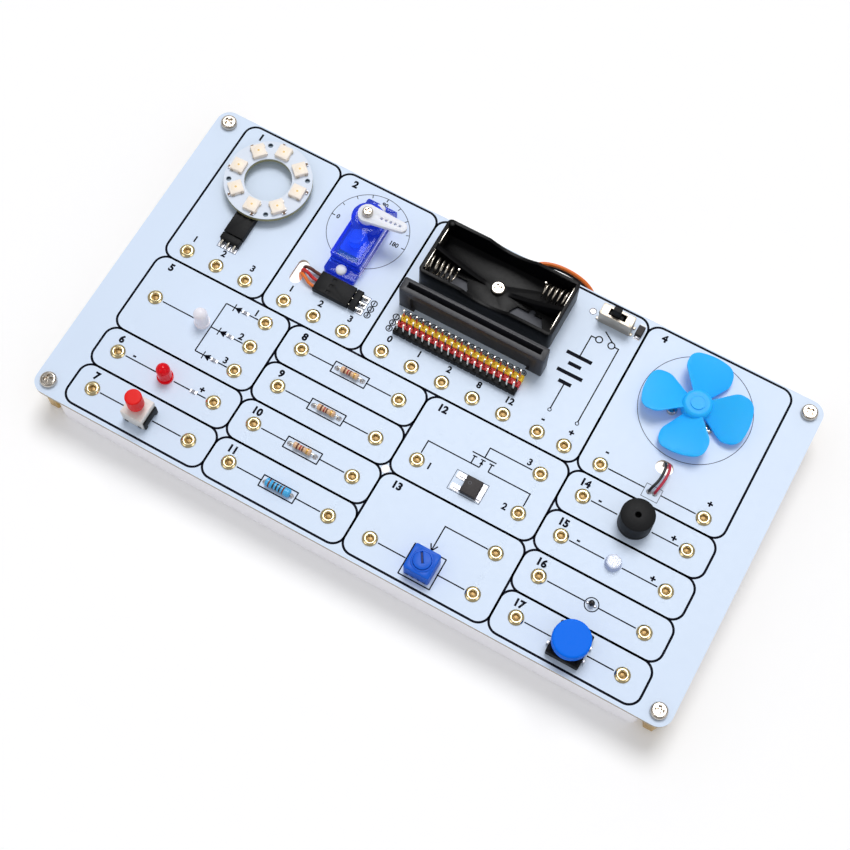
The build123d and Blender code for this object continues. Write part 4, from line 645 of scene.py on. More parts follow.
# Circled numbers beside the servo header and the header strips, and outlines round the soldered pads
PITCH = 2.54
SERVO_PLUG_Y = 19.0
servo_rows = [SERVO_PLUG_Y + PITCH, SERVO_PLUG_Y, SERVO_PLUG_Y - PITCH]
strip_rows = [middle("header_strip_" + name)[1] for name in ("yellow", "red", "black")]
pin_columns = [middle("header_pins")[0] + PITCH * (i - 9) for i in range(19)]
label_places = [(-34.0, y) for y in servo_rows] + [(-24.75, y) for y in strip_rows]
number_places = [(x, 23.85) for x in pin_columns]
header_places = [(-37.05, y) for y in servo_rows] + [(-90.6 + shift, 15.2) for shift in (-PITCH, 0, PITCH)]
prints += [ring_line(place, 1.08, 0.38, 32) for place in label_places]
prints += [ring_line(place, 1.0, 0.3, 28) for place in number_places]
fine_prints += [box_line(place, 2.5, 2.5, 0.16) for place in header_places]

piece("printed_lines", prints + [line(path) for path in paths], ink)
piece("printed_fine_lines", fine_prints, fine_ink)


def lettering(text, x, y, size, weight):
    """A plain number or sign, centred on a point, as a shape, by the outlines of the default type face."""
    letters = bpy.data.curves.new("lettering", "FONT")
    letters.body = text
    letters.size = size
    letters.align_x = "CENTER"
    letters.align_y = "CENTER"
    letters.extrude = 0.02
    letters.offset = weight
    letters.resolution_u = 4
    made = linked("lettering", letters)
    depsgraph = bpy.context.evaluated_depsgraph_get()
    mesh = bpy.data.meshes.new_from_object(made.evaluated_get(depsgraph))
    bpy.data.objects.remove(made)
    points = np.zeros(len(mesh.vertices) * 3, np.float32)
    mesh.vertices.foreach_get("co", points)
    faces = [list(face.vertices) for face in mesh.polygons]
    return points.reshape(-1, 3) + np.array([x, y, 0.015]), faces


# Sizes and weights of the printed numbers
DIGIT = (3.4, 0.13)
SIGN = (3.4, 0.18)
numbers = [(text, -22.5 + 11.85 * i, 12.3, *DIGIT) for i, text in enumerate(("0", "1", "2", "8", "12"))]
for start in (COLUMNS[0], SERVO_FIRST):
    numbers += [(str(i + 1), start + 12 * i, 12.2, *DIGIT) for i in range(3)]
for y in ROWS[:2]:
    numbers += [("-", 68.6, y + 1.6, *SIGN), ("+", 96.0, y + 1.6, *SIGN)]
for minus_x, plus_x in ((38.2, 48.9), (62.9, 101.4)):
    numbers += [("-", minus_x, 12.2, *SIGN), ("+", plus_x, 12.2, *SIGN)]
numbers += [("-", -96.3, -36.6, *SIGN), ("+", -69.2, -36.2, *SIGN)]
numbers += [(str(i + 1), -68.0, y + 1.9, *DIGIT) for i, y in enumerate(LAMP_ROWS)]
numbers += [("1", 12.4, -22.2, *DIGIT), ("2", 41.4, -22.4, *DIGIT), ("3", 41.6, -4.2, *DIGIT)]
numbers += [("0", -62.6, 45.4, 2.4, 0.06), ("90", -50.1, 57.6, 2.4, 0.06), ("180", -39.6, 45.4, 2.4, 0.06)]
numbers += [(str(i + 1), field[0] + 6.4, field[3] - 3.4, 3.7, 0.2) for i, field in enumerate(fields)]
numbers += [(str(i % 3 + 1), x, y, 1.8, 0.1) for i, (x, y) in enumerate(label_places)]
numbers += [(str(i), x, y, 1.5 if i < 10 else 1.2, 0.05) for i, (x, y) in enumerate(number_places)]
piece("printed_numbers", [lettering(*number) for number in numbers], ink)


# Screws


def screw_head(radius, height, recess, depth, foot=0.0, steps=72):
    """A pan head with a cross recess.

    The crown is flat to a rounded shoulder. Points within half the recess's width of either arm of a cross,
    out to the recess's share of the radius, drop by its depth, with a short slope at its rim.
    """
    angle = np.linspace(0, 2 * math.pi, steps, endpoint=False)
    outer = [(radius, 0.0)] + shoulder(radius, height, 0.45 * height, 0.55 * height, 0, math.pi / 2)
    flat = np.linspace(outer[-1][0] * 0.97, 0.02 * radius, 22)
    profile = np.array(outer + [(r, height) for r in flat])
    x = profile[:, :1] * np.cos(angle)
    y = profile[:, :1] * np.sin(angle)
    arm = radius * 0.13
    across = np.clip((arm * 1.3 - np.minimum(np.abs(x), np.abs(y))) / (arm * 0.5), 0, 1)
    along = np.clip((recess * radius - np.maximum(np.abs(x), np.abs(y))) / (0.12 * radius), 0, 1)
    z = profile[:, 1:] - depth * across * along * (profile[:, 1:] >= height * 0.999)
    return skin(np.stack([x, y, foot + z], -1))


def rod(radius, foot, top, centre=(0, 0), steps=24):
    """A plain round rod."""
    return lathe([(radius, foot), (radius, top)], centre, steps)


screws_low = low("corner_screws")
screws_high = high("corner_screws")
heads = []
for x in (screws_low[0] + 3.0, screws_high[0] - 3.0):
    for y in (screws_low[1] + 3.0, screws_high[1] - 3.0):
        heads.append(placed(screw_head(3.0, 1.9, 0.55, 0.9), x, y, turn=25 + 20 * len(heads)))
        heads.append(rod(1.2, screws_low[2], 0, (x, y)))
piece("corner_screw_heads", heads, nickel, "corner_screws")

# Terminals: brass eyelets with a domed flange round a sunk bore
terminals = []
for start, count in ((COLUMNS[0], 3), (SERVO_FIRST, 3), (-22.77, 5)):
    terminals += [(start + 12 * i, TOP_ROW) for i in range(count)]
terminals += [(x, TOP_ROW) for x in (38.54, 48.87, COLUMNS[3], COLUMNS[3] + PAIR)]
terminals += [(COLUMNS[0], -14.2)] + [(COLUMNS[0] + PAIR, -14.2 + 10.4 * i) for i in (1, 0, -1)]
for column, rows in ((0, ROWS[2:]), (1, ROWS), (2, ROWS[1::2]), (3, ROWS)):
    terminals += [(COLUMNS[column] + side, y) for y in rows for side in (0, PAIR)]
terminals += [(COLUMNS[2] + PAIR, y) for y in ROWS[::2]]
eyelet = [(1.5, -1.6), (1.5, 0.0), (2.6, 0.0), (2.7, 0.08), (2.7, 0.22), (2.55, 0.34), (2.3, 0.52)]
eyelet += [(2.0, 0.65), (1.7, 0.7), (1.45, 0.66), (1.22, 0.5), (1.08, 0.22), (1.0, -0.15), (1.0, -1.6)]
eyelets = [lathe(eyelet, place, 40, loop=True) for place in terminals]
piece("terminal_eyelets", eyelets, terminal_brass, "terminal_sockets")
contact = [(1.0, -0.5), (1.0, -0.38), (0.7, -0.3), (0.25, -0.26)]
piece("terminal_contacts", [lathe(contact, place, 20) for place in terminals], bore_brass)

# LED ring, with four plated holes, each closed by a grey plug of painted shade, and a lamp, its lens, die and
# feet and a small part for each eighth
ring_centre = middle("ring_board")[:2]
ring_foot = low("ring_board")[2]
ring_top = high("ring_board")[2]
edge_tint(ring_white, ring_top - 0.12, (150, 146, 104))
ring_profile = [(16.1, ring_foot), (16.1, ring_top - 0.1), (16.0, ring_top)]
ring_profile += [(8.7, ring_top), (8.6, ring_top - 0.1), (8.6, ring_foot)]
ring_disc = piece("ring_disc", [lathe(ring_profile, ring_centre, 160, loop=True)], ring_white, "ring_board")
bush = [(1.0, ring_foot), (1.0, ring_top - 0.02), (0.82, ring_top - 0.02), (0.82, ring_foot)]
# painted shade: a grey plug inside each hole, where the board below lies in the ring's shade
plug = [(0.84, ring_foot + 0.3), (0.84, ring_foot + 0.6), (0.3, ring_foot + 0.6)]
holes = []
bushes = []
for k in range(4):
    heading = math.radians(27.5 + 90 * k)
    place = ring_centre + 14.2 * np.array([math.cos(heading), math.sin(heading)])
    holes.append(rod(1.0, ring_foot - 1, ring_top + 1, place, 32))
    bushes += [lathe(bush, place, 32, loop=True), lathe(plug, place, 32)]
cut(ring_disc, holes)
piece("ring_hole_plating_and_shade_plugs", bushes, hole_plating_and_shade)

lamp_top = high("ring_leds")[2]
LAMP_X = 12
CAP_X = 15.15
lens = [(2.05, lamp_top - 0.3), (2.05, lamp_top - 0.06), (1.5, lamp_top - 0.02), (0.6, lamp_top)]
die = [(0.42, lamp_top - 0.2), (0.42, lamp_top), (0.1, lamp_top + 0.005)]
lamp = block(LAMP_X, 0, 5, 5, ring_top, lamp_top - 0.04, 0.2, 0.14)
feet = [
    block(LAMP_X + side, end, 1.0, 0.32, ring_top, ring_top + 0.8, 0.05, 0.05)
    for side in (-1.6, 1.6)
    for end in (-2.62, 2.62)
]
cap = block(CAP_X, 0, 0.7, 0.9, ring_top, ring_top + 0.6, 0.06, 0.06)
cap_ends = [block(CAP_X, end, 0.74, 0.3, ring_top, ring_top + 0.58, 0.06, 0.06) for end in (-0.58, 0.58)]
for name, shapes, material, source, heading in (
    ("ring_lamp_bodies", [lamp], led_cream, "ring_leds", 2.4),
    ("ring_lamp_lenses", [lathe(lens, (LAMP_X, 0))], led_lens, None, 2.4),
    ("ring_lamp_dies", [lathe(die, (LAMP_X, 0), 16)], led_die, None, 2.4),
    ("ring_lamp_feet", feet, tinned, None, 2.4),
    ("ring_capacitor_bodies", [cap], capacitor_brown, "ring_capacitors", 8.4),
    ("ring_capacitor_ends", cap_ends, solder, None, 8.4),
):
    copies = [placed(shape, *ring_centre, turn=heading + 45 * k) for k in range(8) for shape in shapes]
    piece(name, copies, material, source)

# Soldered joints: each a small cone on its pad
PIN_JOINT = [(0.75, 0.03), (0.6, 0.2), (0.36, 0.45)]
BEAD_JOINT = [(0.62, 0), (0.5, 0.14), (0.28, 0.34)]
WIRE_JOINT = [(1.0, -0.02), (0.95, 0.1), (0.6, 0.22), (0.3, 0.55)]
LEAD_JOINT = [(1.0, -0.02), (0.95, 0.08), (0.7, 0.3), (0.35, 0.5)]
piece("header_pads", [block(x, y, 2.1, 2.1, -0.02, 0.04, 0.1, 0.02) for x, y in header_places], solder)
piece("header_solder", [lathe(PIN_JOINT, place, 20) for place in header_places], solder)

# Servo: what shows inside its see-through case, its screws and its arm's screw
servo_x, servo_y = middle("servo_output_shaft")[:2]
ear_foot = high("servo_case")[2]
cover_top = ear_foot + 4.1
core_foot = low("servo_bottom_cover")[2] + 0.8
core = block(servo_x, servo_y - 5.4, 10.8, 21.4, core_foot, cover_top - 1.5, 0.8, 0.5)
piece("servo_core", [core], core_navy)
gears = [block(servo_x, servo_y - 9.6, 8.4, 8.0, cover_top - 1.6, cover_top - 0.9, 1.2, 0.3)]
wheel = [(3.6, cover_top - 1.6), (3.6, cover_top - 0.8), (3.3, cover_top - 0.6)]
gears.append(lathe(wheel, (servo_x, servo_y - 7.2), 40))
pinion = [(2.0, cover_top - 1.0), (2.0, cover_top - 0.3), (1.7, cover_top - 0.2)]
gears.append(lathe(pinion, (servo_x, servo_y - 9.4), 32))
piece("servo_gear_train", gears, gear_blue)
circuit = block(servo_x, servo_y - 14.55, 8.0, 1.9, cover_top - 1.7, cover_top - 1.1, 0.4, 0.2)
piece("servo_circuit", [circuit], circuit_green)
ears_low = low("servo_ear_screws")
ears_high = high("servo_ear_screws")
button = [(0.95, ears_low[2]), (0.95, ear_foot), (2.0, ear_foot), (2.0, ear_foot + 0.5)]
button += shoulder(2.0, ear_foot + 1.6, 1.9, 1.1, 0.2, 1.5, 9)
buttons = [lathe(button, (servo_x, y), 40) for y in (ears_low[1] + 2.0, ears_high[1] - 2.0)]
piece("servo_nylon_screws", buttons, nylon, "servo_ear_screws")
horn_top = high("servo_horn")[2]
horn_screw = [screw_head(2.0, 1.7, 0.6, 0.8, horn_top), rod(0.9, low("servo_horn_screw")[2], horn_top + 0.1)]
horn_screw = [placed(shape, servo_x, servo_y) for shape in horn_screw]
piece("servo_horn_screw_head", horn_screw, nickel, "servo_horn_screw", "servo_output")

# Battery holder: a grey sheet of painted shade under it, locating peg and screw
holder_x, holder_y = middle("battery_holder")[:2]
holder_size = high("battery_holder") - low("battery_holder")
holder_back = high("battery_holder")[1]
holder_top = high("battery_holder")[2]
# painted shade: a thin grey sheet under the holder, where the board shows through its windows in the holder's
# shade
pad = block(holder_x, holder_y, holder_size[0] - 2.4, holder_size[1] - 2.4, 0, 0.12, 1.0, 0.05)
piece("holder_shade_sheet", [pad], shade_and_mark_grey)
peg = [(1.25, holder_top - 2.0), (1.25, holder_top + 0.5), (1.1, holder_top + 0.85), (0.6, holder_top + 1.0)]
peg_place = (low("battery_holder")[0] + 1.9, holder_back - 1.9)
piece("holder_peg", [lathe(peg, peg_place, 28)], holder_black)
screw_foot = high("holder_screw")[2] - 1.3
holder_screw = [
    placed(screw_head(2.6, 1.3, 0.55, 0.7, screw_foot), turn=30),
    rod(1.45, low("holder_screw")[2], screw_foot + 0.1),
]
holder_screw = [placed(shape, *middle("holder_screw")[:2]) for shape in holder_screw]
piece("holder_screw_head", holder_screw, nickel, "holder_screw")

# Header pins: square rods with a pyramid tip
pin_top = high("header_pins")[2]
pins = []
for x in pin_columns:
    for y in strip_rows:
        shaft = rounded_outline(0.64, 0.64, 0.06, centre=(x, y))
        tip = rounded_outline(0.3, 0.3, 0.03, centre=(x, y))
        pins.append(stacked([shaft, shaft, tip], (0, pin_top - 0.55, pin_top)))
piece("header_pin_rows", pins, pin_bright, "header_pins")

# Slide switch's tabs, the diode and the solder round the sensor hole
can_low = low("switch_can")
can_high = high("switch_can")
tabs = []
for x in (can_low[0] - 0.3, can_high[0] + 0.3):
    tabs += [block(x, y, 1.1, 0.9, 0, 0.5, 0.15, 0.1) for y in (can_low[1] + 0.9, can_high[1] - 0.9)]
piece("switch_tabs", tabs, tinned)
diode_x, diode_y = middle("diode")[:2]
body = block(diode_x, diode_y, 2.5, 3.9, 0.2, high("diode")[2], 0.15, 0.22)
piece("diode_body", [body], transistor_black, "diode")
ends = []
for side in (-1, 1):
    ends.append(block(diode_x, diode_y + side * 2.25, 1.7, 0.9, 0, 0.8, 0.1, 0.15))
    ends.append(block(diode_x, diode_y + side * 2.5, 2.3, 1.2, -0.02, 0.12, 0.1, 0.05))
piece("diode_ends", ends, solder)
plating = [(1.35, 0.0), (1.3, 0.12), (1.05, 0.2), (0.95, 0.1), (0.95, -0.6), (0.3, -0.5)]
piece("sensor_hole_plating", [lathe(plating, (34.6, 57.0), 32)], solder)

# Fan: ring on its hub, and the motor's screws
hub_top = high("propeller")[2]
hub_ring = [(2.6, hub_top - 0.5), (2.6, hub_top + 0.02), (2.45, hub_top + 0.05), (2.3, hub_top + 0.02)]
hub_ring += [(2.3, hub_top - 0.1), (0.4, hub_top - 0.12)]
piece("propeller_hub_ring", [lathe(hub_ring, (fan_x, fan_y), 56)], fan_blue, body="fan_rotor")
motor_x, motor_y = middle("motor_shaft")[:2]
motor_screws = []
for k in range(3):
    heading = math.radians(90 + 120 * k)
    place = np.array([motor_x, motor_y]) + 8.0 * np.array([math.cos(heading), math.sin(heading)])
    motor_screws.append(placed(screw_head(1.9, 1.2, 0.6, 0.6, steps=48), *place, turn=20 + 35 * k))
    motor_screws.append(rod(0.95, low("motor_screws")[2], 0.1, place, 20))
piece("motor_screw_heads", motor_screws, nickel, "motor_screws")

# Buzzer
buzzer_top = high("buzzer")[2]
case = [(5.75, 0), (5.9, 0.25), (5.9, 1.5), (5.8, 1.62), (5.8, 1.78), (5.9, 1.9), (5.9, buzzer_top - 0.5)]
case += [(5.78, buzzer_top - 0.2), (5.45, buzzer_top), (1.15, buzzer_top), (1.0, buzzer_top - 0.15)]
case.append((1.0, buzzer_top - 3.0))
piece("buzzer_case", [lathe(case, middle("buzzer")[:2], 96)], black_plastic, "buzzer")


# Lamps and light cell


def dome(source):
    """A moulded lamp: a low flange, an upright wall, and a half-round crown of the wall's radius."""
    radius = 2.5
    flange = radius + 0.4
    profile = [(flange, 0), (flange, 0.9), (flange - 0.1, 1.0), (radius + 0.02, 1.0)]
    profile += shoulder(radius, high(source)[2], radius, radius, 0, math.pi / 2 - 0.02, 14)
    centre = (low(source)[0] + flange, middle(source)[1])
    return lathe(profile, centre, 56), centre


cell, (cell_x, cell_y) = dome("photocell")
piece("cell_dome", [cell], lamp_clear, "photocell")
DISC_TOP = 2.6
disc = [(2.2, 1.9), (2.2, DISC_TOP - 0.08), (2.1, DISC_TOP)]
piece("cell_plate", [lathe(disc, (cell_x, cell_y), 40)], cell_disc)
track = [(-1.5, -1.1), (-1.5, 0.9), (-0.9, 0.9), (-0.9, -1.3), (-0.3, -1.3), (-0.3, 1.4)]
track += [(0.3, 1.4), (0.3, -1.4), (0.9, -1.4), (0.9, 1.3), (1.5, 1.3), (1.5, -0.8)]
piece("cell_track", [placed(line(track, 0.26), cell_x, cell_y, DISC_TOP)], cell_track)
for source, name, material, frame_metal in (
    ("red_led", "red_lamp_dome", lamp_red, lamp_frame),
    ("rgb_led", "colour_lamp_dome", lamp_milky, tinned),
):
    lamp, (x, y) = dome(source)
    piece(name, [lamp], material, source)
    anvil = block(x + 0.45, y, 1.3, 1.0, 0.4, 4.6, 0.2, 0.2)
    post = block(x - 0.9, y, 0.6, 0.6, 0.4, 4.4, 0.1, 0.1)
    piece(name + "_frame", [anvil, post], frame_metal)

# Temperature bead on two legs
bead_x, bead_y = middle("ntc_bead")[:2]
bead_middle = high("ntc_bead")[2] - 1.1
bead = [
    (1.1 * math.cos(t), bead_middle + 1.1 * math.sin(t))
    for t in np.linspace(-math.pi / 2 + 0.05, math.pi / 2 - 0.05, 20)
]
piece("bead", [lathe(bead, (bead_x, bead_y), 32)], bead_black, "ntc_bead")
legs = [rod(0.25, 0, bead_middle, (bead_x + shift, bead_y), 12) for shift in (-0.75, 0.75)]
legs += [lathe(BEAD_JOINT, (bead_x + shift, bead_y), 20) for shift in (-1.35, 1.35)]
piece("bead_legs", legs, solder)

# Push button
tact_x, tact_y = middle("tact_plunger")[:2]
tact_top = high("tact_base")[2]
rivet = [(0.75, tact_top - 0.05), (0.72, tact_top + 0.18), (0.5, tact_top + 0.28), (0.15, tact_top + 0.3)]
quarters = [(x, y) for x in (-1, 1) for y in (-1, 1)]
rivets = [lathe(rivet, (tact_x + 4.9 * x, tact_y + 4.9 * y), 20) for x, y in quarters]
piece("tact_rivets", rivets, black_plastic)
legs = [block(tact_x + 6.45 * x, tact_y + 2.5 * y, 0.92, 1.1, 0, 1.62, 0.12, 0.12) for x, y in quarters]
piece("tact_legs", legs, solder)
CAP_RIM = 6.8
cap_top = high("button_cap")[2]
cap = [(5.4, CAP_RIM + 0.1), (6.3, CAP_RIM), (6.5, CAP_RIM + 0.2), (6.5, cap_top - 0.75)]
cap += shoulder(6.5, cap_top, 0.75, 0.75) + [(5.4, cap_top), (2.6, cap_top), (0.3, cap_top)]
stem = rod(3.4, low("button_cap")[2], CAP_RIM + 1.0, (tact_x, tact_y), 40)
piece("button_cap_shell", [lathe(cap, (tact_x, tact_y), 96), stem], cap_blue, "button_cap", "push_button")

# Latching button
lock_x, lock_y = middle("lock_cap")[:2]
lock_top = high("lock_cap")[2]
knob = [(1.6, low("lock_cap")[2]), (1.6, 9.4), (2.75, 9.4), (2.95, 9.6), (2.95, lock_top - 0.5)]
knob += shoulder(2.95, lock_top, 0.5, 0.5, steps=7) + [(1.2, lock_top - 0.02)]
piece("lock_cap_knob", [lathe(knob, (lock_x, lock_y))], cap_red, "lock_cap", "latch_button")
# painted shade: thin grey slabs where the gaps at the lock's foot lie in shade
gaps = [block(lock_x + x, lock_y - 4.25, 1.4, 0.1, 0, 1.3, 0.04, 0.03) for x in (-2.6, 2.6)]
piece("lock_foot_gap_shade", gaps, shade_and_mark_grey)

# Chip resistors
chip_x = middle("smd_resistors")[0]
chip_top = high("smd_resistors")[2]
chips = []
ends = []
for y in LAMP_ROWS + (ROWS[2],):
    chips.append(block(chip_x, y, 1.2, 1.2, 0, chip_top, 0.08, 0.06))
    for side in (-1, 1):
        ends.append(block(chip_x + side * 0.8, y, 0.44, 1.24, 0, chip_top - 0.02, 0.06, 0.08))
        ends.append(block(chip_x + side * 1.1, y, 0.6, 1.32, -0.02, 0.1, 0.06, 0.03))
piece("chip_bodies", chips, chip_grey, "smd_resistors")
piece("chip_ends", ends, solder)


# Wired resistors: each kind's radius, length, waist and end caps' share of the length

resistor_x = middle("tan_resistors")[0]
WIRE_RADIUS = 0.27
WIRE_REACH = 5.08
AXIS_HEIGHT = 1.5
TAN = (1.15, 6.9, 0.2, 0.24)
BLUE = (1.5, 9.6, 0.22, 0.22)


def barrel(y, kind, start=0.0, end=1.0, grow=0.0, samples=40):
    """A resistor's body along x, or a band of it between two shares of its length.

    The radius is the full one at the two rounded ends and falls to the waist between them by a smooth step.
    """
    radius, length, waist, cap_share = kind
    share = np.linspace(start, end, samples)
    from_end = np.minimum(share, 1 - share)
    rise = np.clip(from_end / 0.06, 0, 1)
    fall = np.clip((from_end - cap_share) / 0.07, 0, 1)
    fall = fall * fall * (3 - 2 * fall)
    profile = radius * np.sqrt(np.clip(1 - (1 - rise) ** 2 * 0.75, 0.05, 1)) - waist * fall + grow
    angle = np.linspace(0, 2 * math.pi, 36, endpoint=False)
    grid_x = np.repeat((resistor_x - length / 2 + length * share)[:, None], 36, axis=1)
    grid_y = y + profile[:, None] * np.cos(angle)
    grid_z = AXIS_HEIGHT + profile[:, None] * np.sin(angle)
    return skin(np.stack([grid_x, grid_y, grid_z], -1))


def band(y, kind, start, width):
    """A painted band, a little proud of the body."""
    return barrel(y, kind, start, start + width, 0.015, 8)


def bent_wire(y, length, side):
    """A resistor's wire: up from the board, round a quarter circle and along to the body's end."""
    foot_x = resistor_x + side * WIRE_REACH
    end_x = resistor_x + side * (length / 2 - 0.3)
    bend = min(0.6, abs(foot_x - end_x) * 0.7)
    turn = np.linspace(0, math.pi / 2, 7)
    path_x = np.concatenate([[foot_x], foot_x - side * bend * (1 - np.cos(turn)), [end_x]])
    path_z = np.concatenate([[0], AXIS_HEIGHT - bend + bend * np.sin(turn), [AXIS_HEIGHT]])
    lean = np.concatenate([[0.0], turn, [math.pi / 2]])[:, None]
    angle = np.linspace(0, 2 * math.pi, 12, endpoint=False)
    out = WIRE_RADIUS * np.cos(angle)
    grid_x = path_x[:, None] + np.cos(lean) * out
    grid_y = np.repeat((y + WIRE_RADIUS * np.sin(angle))[None, :], len(path_x), axis=0)
    grid_z = path_z[:, None] + np.sin(lean) * out * side
    return skin(np.stack([grid_x, grid_y, grid_z], -1))


tan_rows = ROWS[:3]
blue_y = ROWS[3]
piece("tan_resistor_bodies", [barrel(y, TAN) for y in tan_rows], resistor_tan, "tan_resistors")
for tone, material, starts in (
    ("brown", band_brown, (0.2, 0.5)),
    ("black", band_red, (0.37,)),
    ("gold", band_gold, (0.76,)),
):
    piece("tan_bands_" + tone, [band(y, TAN, start, 0.085) for y in tan_rows for start in starts], material)
piece("blue_resistor_body", [barrel(blue_y, BLUE)], resistor_blue, "blue_resistor")
dark_bands = [band(blue_y, BLUE, start, 0.06) for start in (0.3, 0.44, 0.57)]
piece("blue_bands_dark", dark_bands, band_black)
brown_bands = [band(blue_y, BLUE, start, 0.06) for start in (0.7, 0.14)]
piece("blue_bands_red", brown_bands, band_brown)
wired = [(y, TAN[1]) for y in tan_rows] + [(blue_y, BLUE[1])]
wires = [bent_wire(y, length, side) for y, length in wired for side in (-1, 1)]
piece("resistor_wires", wires, pin_bright)
joints = [lathe(WIRE_JOINT, (resistor_x + side * WIRE_REACH, y), 24) for y in ROWS for side in (-1, 1)]
piece("resistor_pads", joints, solder)

# Power transistor on its pads
transistor_x = 28.7
transistor_y = middle("mosfet")[1]
transistor_top = high("mosfet")[2]
moulding = block(transistor_x, transistor_y, 6.0, 6.5, 0.25, transistor_top, 0.15, 0.2, 0.12)
piece("transistor_moulding", [moulding], transistor_black, "mosfet")
dot = [(0.62, -0.1), (0.62, 0.012), (0.44, 0.012), (0.44, -0.1)]
dot = placed(lathe(dot, steps=32, loop=True), transistor_x - 1.1, transistor_y + 0.9, transistor_top)
piece("transistor_dot", [dot], shade_and_mark_grey)
leads = [
    block(32.15, transistor_y, 1.9, 5.3, 0, 0.5, 0.1, 0.12),
    block(32.2, transistor_y, 2.4, 6.8, -0.02, 0.12, 0.3, 0.06),
]
for side in (-1, 1):
    leads.append(block(24.5, transistor_y + side * 2.285, 3.4, 0.8, 0, 0.5, 0.1, 0.12))
    leads.append(block(23.7, transistor_y + side * 2.285, 3.4, 2.5, -0.02, 0.14, 0.3, 0.08))
piece("transistor_leads", leads, solder)

# Trimmer: collar round its rotor, and painted shade on its slot's floor and in the gaps at its foot
SLOT_HEADING = 122
trim_x, trim_y = middle("trimpot_rotor")[:2]
trim_top = high("trimpot_body")[2]
collar = [(3.9, -0.1), (3.9, 0.16), (3.75, 0.24), (3.3, 0.24), (3.18, 0.1), (3.18, -0.1)]
collar = placed(lathe(collar, steps=56, loop=True), trim_x, trim_y, trim_top)
piece("trimmer_collar", [collar], trimmer_blue)
slot_x = trim_x + 1.15 * math.cos(math.radians(SLOT_HEADING))
slot_y = trim_y + 1.15 * math.sin(math.radians(SLOT_HEADING))
rotor_floor = high("trimpot_rotor")[2] - 1.2
# painted shade: a dark plate on the slot's floor
slot_floor = block(-0.05, 0, 4.1, 0.72, rotor_floor - 0.1, rotor_floor + 0.05, 0.05, 0.02)
slot_floor = placed(slot_floor, slot_x, slot_y, turn=SLOT_HEADING)
piece("trimmer_slot_floor", [slot_floor], trimmer_painted_shade, body="trimmer_rotor")
# painted shade: dark slabs in the gaps at the foot
gaps = [block(trim_x + x, trim_y - 4.765, 0.9, 0.13, 0.2, 0.9, 0.05, 0.03) for x in (-3.2, -1.1, 1.1, 3.2)]
piece("trimmer_foot_gap_shade", gaps, trimmer_painted_shade)


# Leads: each follows its route's points on one smooth curve


def lead(source, route, diameter, material):
    """A lead on a NURBS line through its route, which stands for its tube."""
    points = [[share * MM for share in (x, y, z + board_top)] for x, y, z in route]
    path = bpy.data.curves.new(source + "_line", "CURVE")
    path.dimensions = "3D"
    path.resolution_u = 10
    spline = path.splines.new("NURBS")
    spline.points.add(len(points) - 1)
    for point, place in zip(spline.points, points):
        point.co = (*place, 1.0)
    spline.order_u = 3
    spline.use_endpoint_u = True
    path.bevel_depth = diameter / 2 * MM
    path.bevel_resolution = 5
    path.use_fill_caps = True
    path.materials.append(material)
    made = fitted(linked(source + "_lead", path), replaces=source)


case_near = servo_y + 6.0 - 22.8
exit_height = low("servo_bottom_cover")[2] + 2.9
SERVO_PLUG_X = -48.5
plug_end_x = SERVO_PLUG_X - 7.0
plug_height = PITCH / 2
servo_slot_x = -63.4
servo_slot_y = 19.55


def servo_lead_route(exit_shift, slot_shift, plug_shift, hump):
    """Points of one servo lead, by its shift at the case, in the slot and at the plug."""
    exit_x = servo_x + exit_shift
    slot_y = servo_slot_y + slot_shift
    plug_y = SERVO_PLUG_Y + plug_shift
    return [
        (exit_x, case_near, exit_height),
        (exit_x, case_near - 3.8 - 0.9 * exit_shift, exit_height),
        (exit_x - 4.4, slot_y + 2.4, exit_height + 0.6),
        (servo_slot_x + 3.2, slot_y + 0.4, exit_height + 1.4),
        (servo_slot_x + 0.9, slot_y, exit_height + 5.6),
        (servo_slot_x + 0.5, slot_y, -1.6),
        (servo_slot_x + 1.2, slot_y - 0.1, hump),
        (servo_slot_x + 3.6, (slot_y + plug_y) / 2, hump + 0.7),
        (plug_end_x - 2.0, plug_y, plug_height),
        (plug_end_x, plug_y, plug_height),
    ]


lead("servo_wire_brown", servo_lead_route(-1.3, 2.1, PITCH, 1.9), 1.2, lead_brown)
lead("servo_wire_red", servo_lead_route(0, 0.75, 0, 2.2), 1.2, lead_red)
lead("servo_wire_orange", servo_lead_route(1.3, -0.6, -PITCH, 1.8), 1.2, lead_orange)

back_edge = high("main_board")[1]
notch_x = holder_x + 33.5
board_foot = low("main_board")[2]


def battery_lead_route(shift_x, shift_y, drop):
    """Points of one battery lead, shifted from the other one by a lead's thickness."""
    start_x = holder_x + 7.1 + shift_x
    end_x = notch_x + 3.2 + 2 * shift_x
    return [
        (start_x, holder_back, 2.4 - drop),
        (start_x, holder_back + 3.4 + shift_y, 2.4 - drop),
        (start_x + 5.6, back_edge + 1.3 + shift_y, 2.3 - drop),
        (start_x + 12.2, back_edge + 2.3 + shift_y, 1.3 - drop),
        (start_x + 18.6, back_edge + 2.0 + shift_y, -0.4 - drop),
        (start_x + 22.8, back_edge + 1.2 + shift_y / 2, -4.6 - drop),
        (notch_x - 0.4 + shift_x, back_edge - 1.8 + shift_y / 2, -7.0 - drop),
        (end_x - 0.6 - 0.5 * shift_x, back_edge - 5.4 + shift_y / 2, -6.2 - drop),
        (end_x, back_edge - 7.0 + shift_y / 2, board_foot - 2.2),
        (end_x, back_edge - 7.0 + shift_y / 2, board_foot),
    ]


lead("battery_wire_orange", battery_lead_route(0, 0, 0), 1.4, lead_orange)
lead("battery_wire_black", battery_lead_route(-1.0, -0.2, 1.5), 1.4, lead_black)

motor_tab_y = low("motor_can")[1]
motor_tab_height = (low("motor_can")[2] + board_foot) / 2
FAN_SLOT_BACK = 16.55 + 2.45


